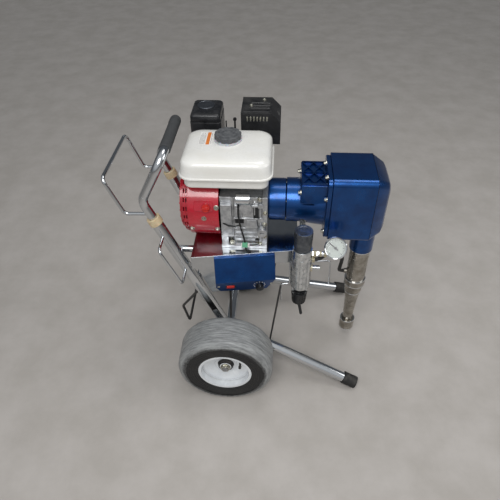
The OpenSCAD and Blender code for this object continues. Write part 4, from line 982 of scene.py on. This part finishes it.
detail("drain_flutes", flutes, black_abs, "drain_valve", "drain_valve")


# ---- Control box: lid screws, rocker frame, dial dots and knob ribs ----

rocker, knob_joint = joints["power_switch_tip"], joints["pressure_knob_turn"]
out = Vector(knob_joint["axis"])
along = Vector(rocker["axis"])
rock = stand(Vector(rocker["pos_m"]), out, along)
frame_ring = []
for a, b, c, d in ((-15, -10, 15, -7.4), (-15, 7.4, 15, 10), (-15, -7.4, -12.2, 7.4),
        (12.2, -7.4, 15, 7.4)):
    frame_ring.append(slab(*mm((a, b, -1), (c, d, 1.8)), rock, 0.4 * MM))
detail("rocker_frame", frame_ring, black_abs, "control_box")
dial_place = stand(Vector(knob_joint["pos_m"]), out, along)
dots = [solid_turned(mm((0, -0.5), (1.3, -0.5), (1.3, 0.5), (0, 0.6)),
    dial_place @ Matrix.Translation((16 * MM * math.cos(math.radians(a)),
        16 * MM * math.sin(math.radians(a)), 0)), 12) for a in range(-30, 211, 30)]
detail("knob_dots", dots, label_paper, "control_box")
screws = []
for x, y in ((-34, 3), (118, 4)):
    screws += [solid_turned(mm((0, -1), (4.2, -1), (4.2, 0.8), (2.6, 2.2), (0, 2.4)),
        rock @ Matrix.Translation((x * MM, y * MM, 0)), 24)]
detail("panel_screws", screws, zinc_plate, "engine_bolts")
rows_knob = [slab(*mm((10.4, -0.9, 2), (11.6, 0.9, 12.6)),
    dial_place @ Matrix.Rotation(2 * math.pi * k / 20, 4, "Z"), 0.2 * MM) for k in range(20)]
detail("knob_ribs", rows_knob, black_abs, "pressure_knob", "knob")


# ---- Floor and light ----

floor = bpy.data.objects.new("floor", bpy.data.meshes.new("floor"))
scene.collection.objects.link(floor)
reach = 14.0
floor.data.from_pydata([(-reach, -reach, 0), (reach, -reach, 0), (reach, reach, 0), (-reach, reach, 0)],
    [], [(0, 1, 2, 3)])
floor.location.z = -0.0008
# Sealed concrete: pale warm grey and matt
floor.data.materials.append(finish("sealed_concrete", "#c2bcb6", 0.75, 0.0, "#b6b0a9", 160, 0.05, 8.0, 0.1))

world = bpy.data.worlds.new("studio")
scene.world = world
world.use_nodes = True
sky = world.node_tree
sky.nodes.clear()
way = add(sky, "ShaderNodeTexCoord").outputs["Generated"]
facing = add(sky, "ShaderNodeVectorMath", {"operation": "DOT_PRODUCT"},
             {0: way, 1: (-0.08, -0.62, 0.78)}).outputs["Value"]
fade = add(sky, "ShaderNodeMapRange", {"interpolation_type": "SMOOTHSTEP"},
           {"Value": facing, "From Min": 0.1, "From Max": 1.0}).outputs["Result"]
dome = add(sky, "ShaderNodeMix", {"data_type": "RGBA"},
           {0: fade, 6: linear("#6d7176"), 7: linear("#f6f9fc")}).outputs[2]
glow = add(sky, "ShaderNodeBackground", None, {"Color": dome, "Strength": 0.6})
add(sky, "ShaderNodeOutputWorld", None, {"Surface": glow.outputs["Background"]})

centre = (cad_box[0] + cad_box[1]) / 2
for name, offset, size, power in (("key", (-0.1, -1.5, 1.9), 1.1, 25), ("top", (0.5, 0.4, 2.4), 1.0, 10),
        ("side", (2.2, -0.3, 1.3), 1.2, 9)):
    lamp = bpy.data.lights.new(name, "AREA")
    lamp.size, lamp.energy = size, power
    holder = bpy.data.objects.new(name, lamp)
    scene.collection.objects.link(holder)
    holder.location = centre + Vector(offset)
    holder.rotation_mode = "QUATERNION"
    holder.rotation_quaternion = (-Vector(offset)).to_track_quat("-Z", "Y")
scene.view_settings.view_transform = "Standard"
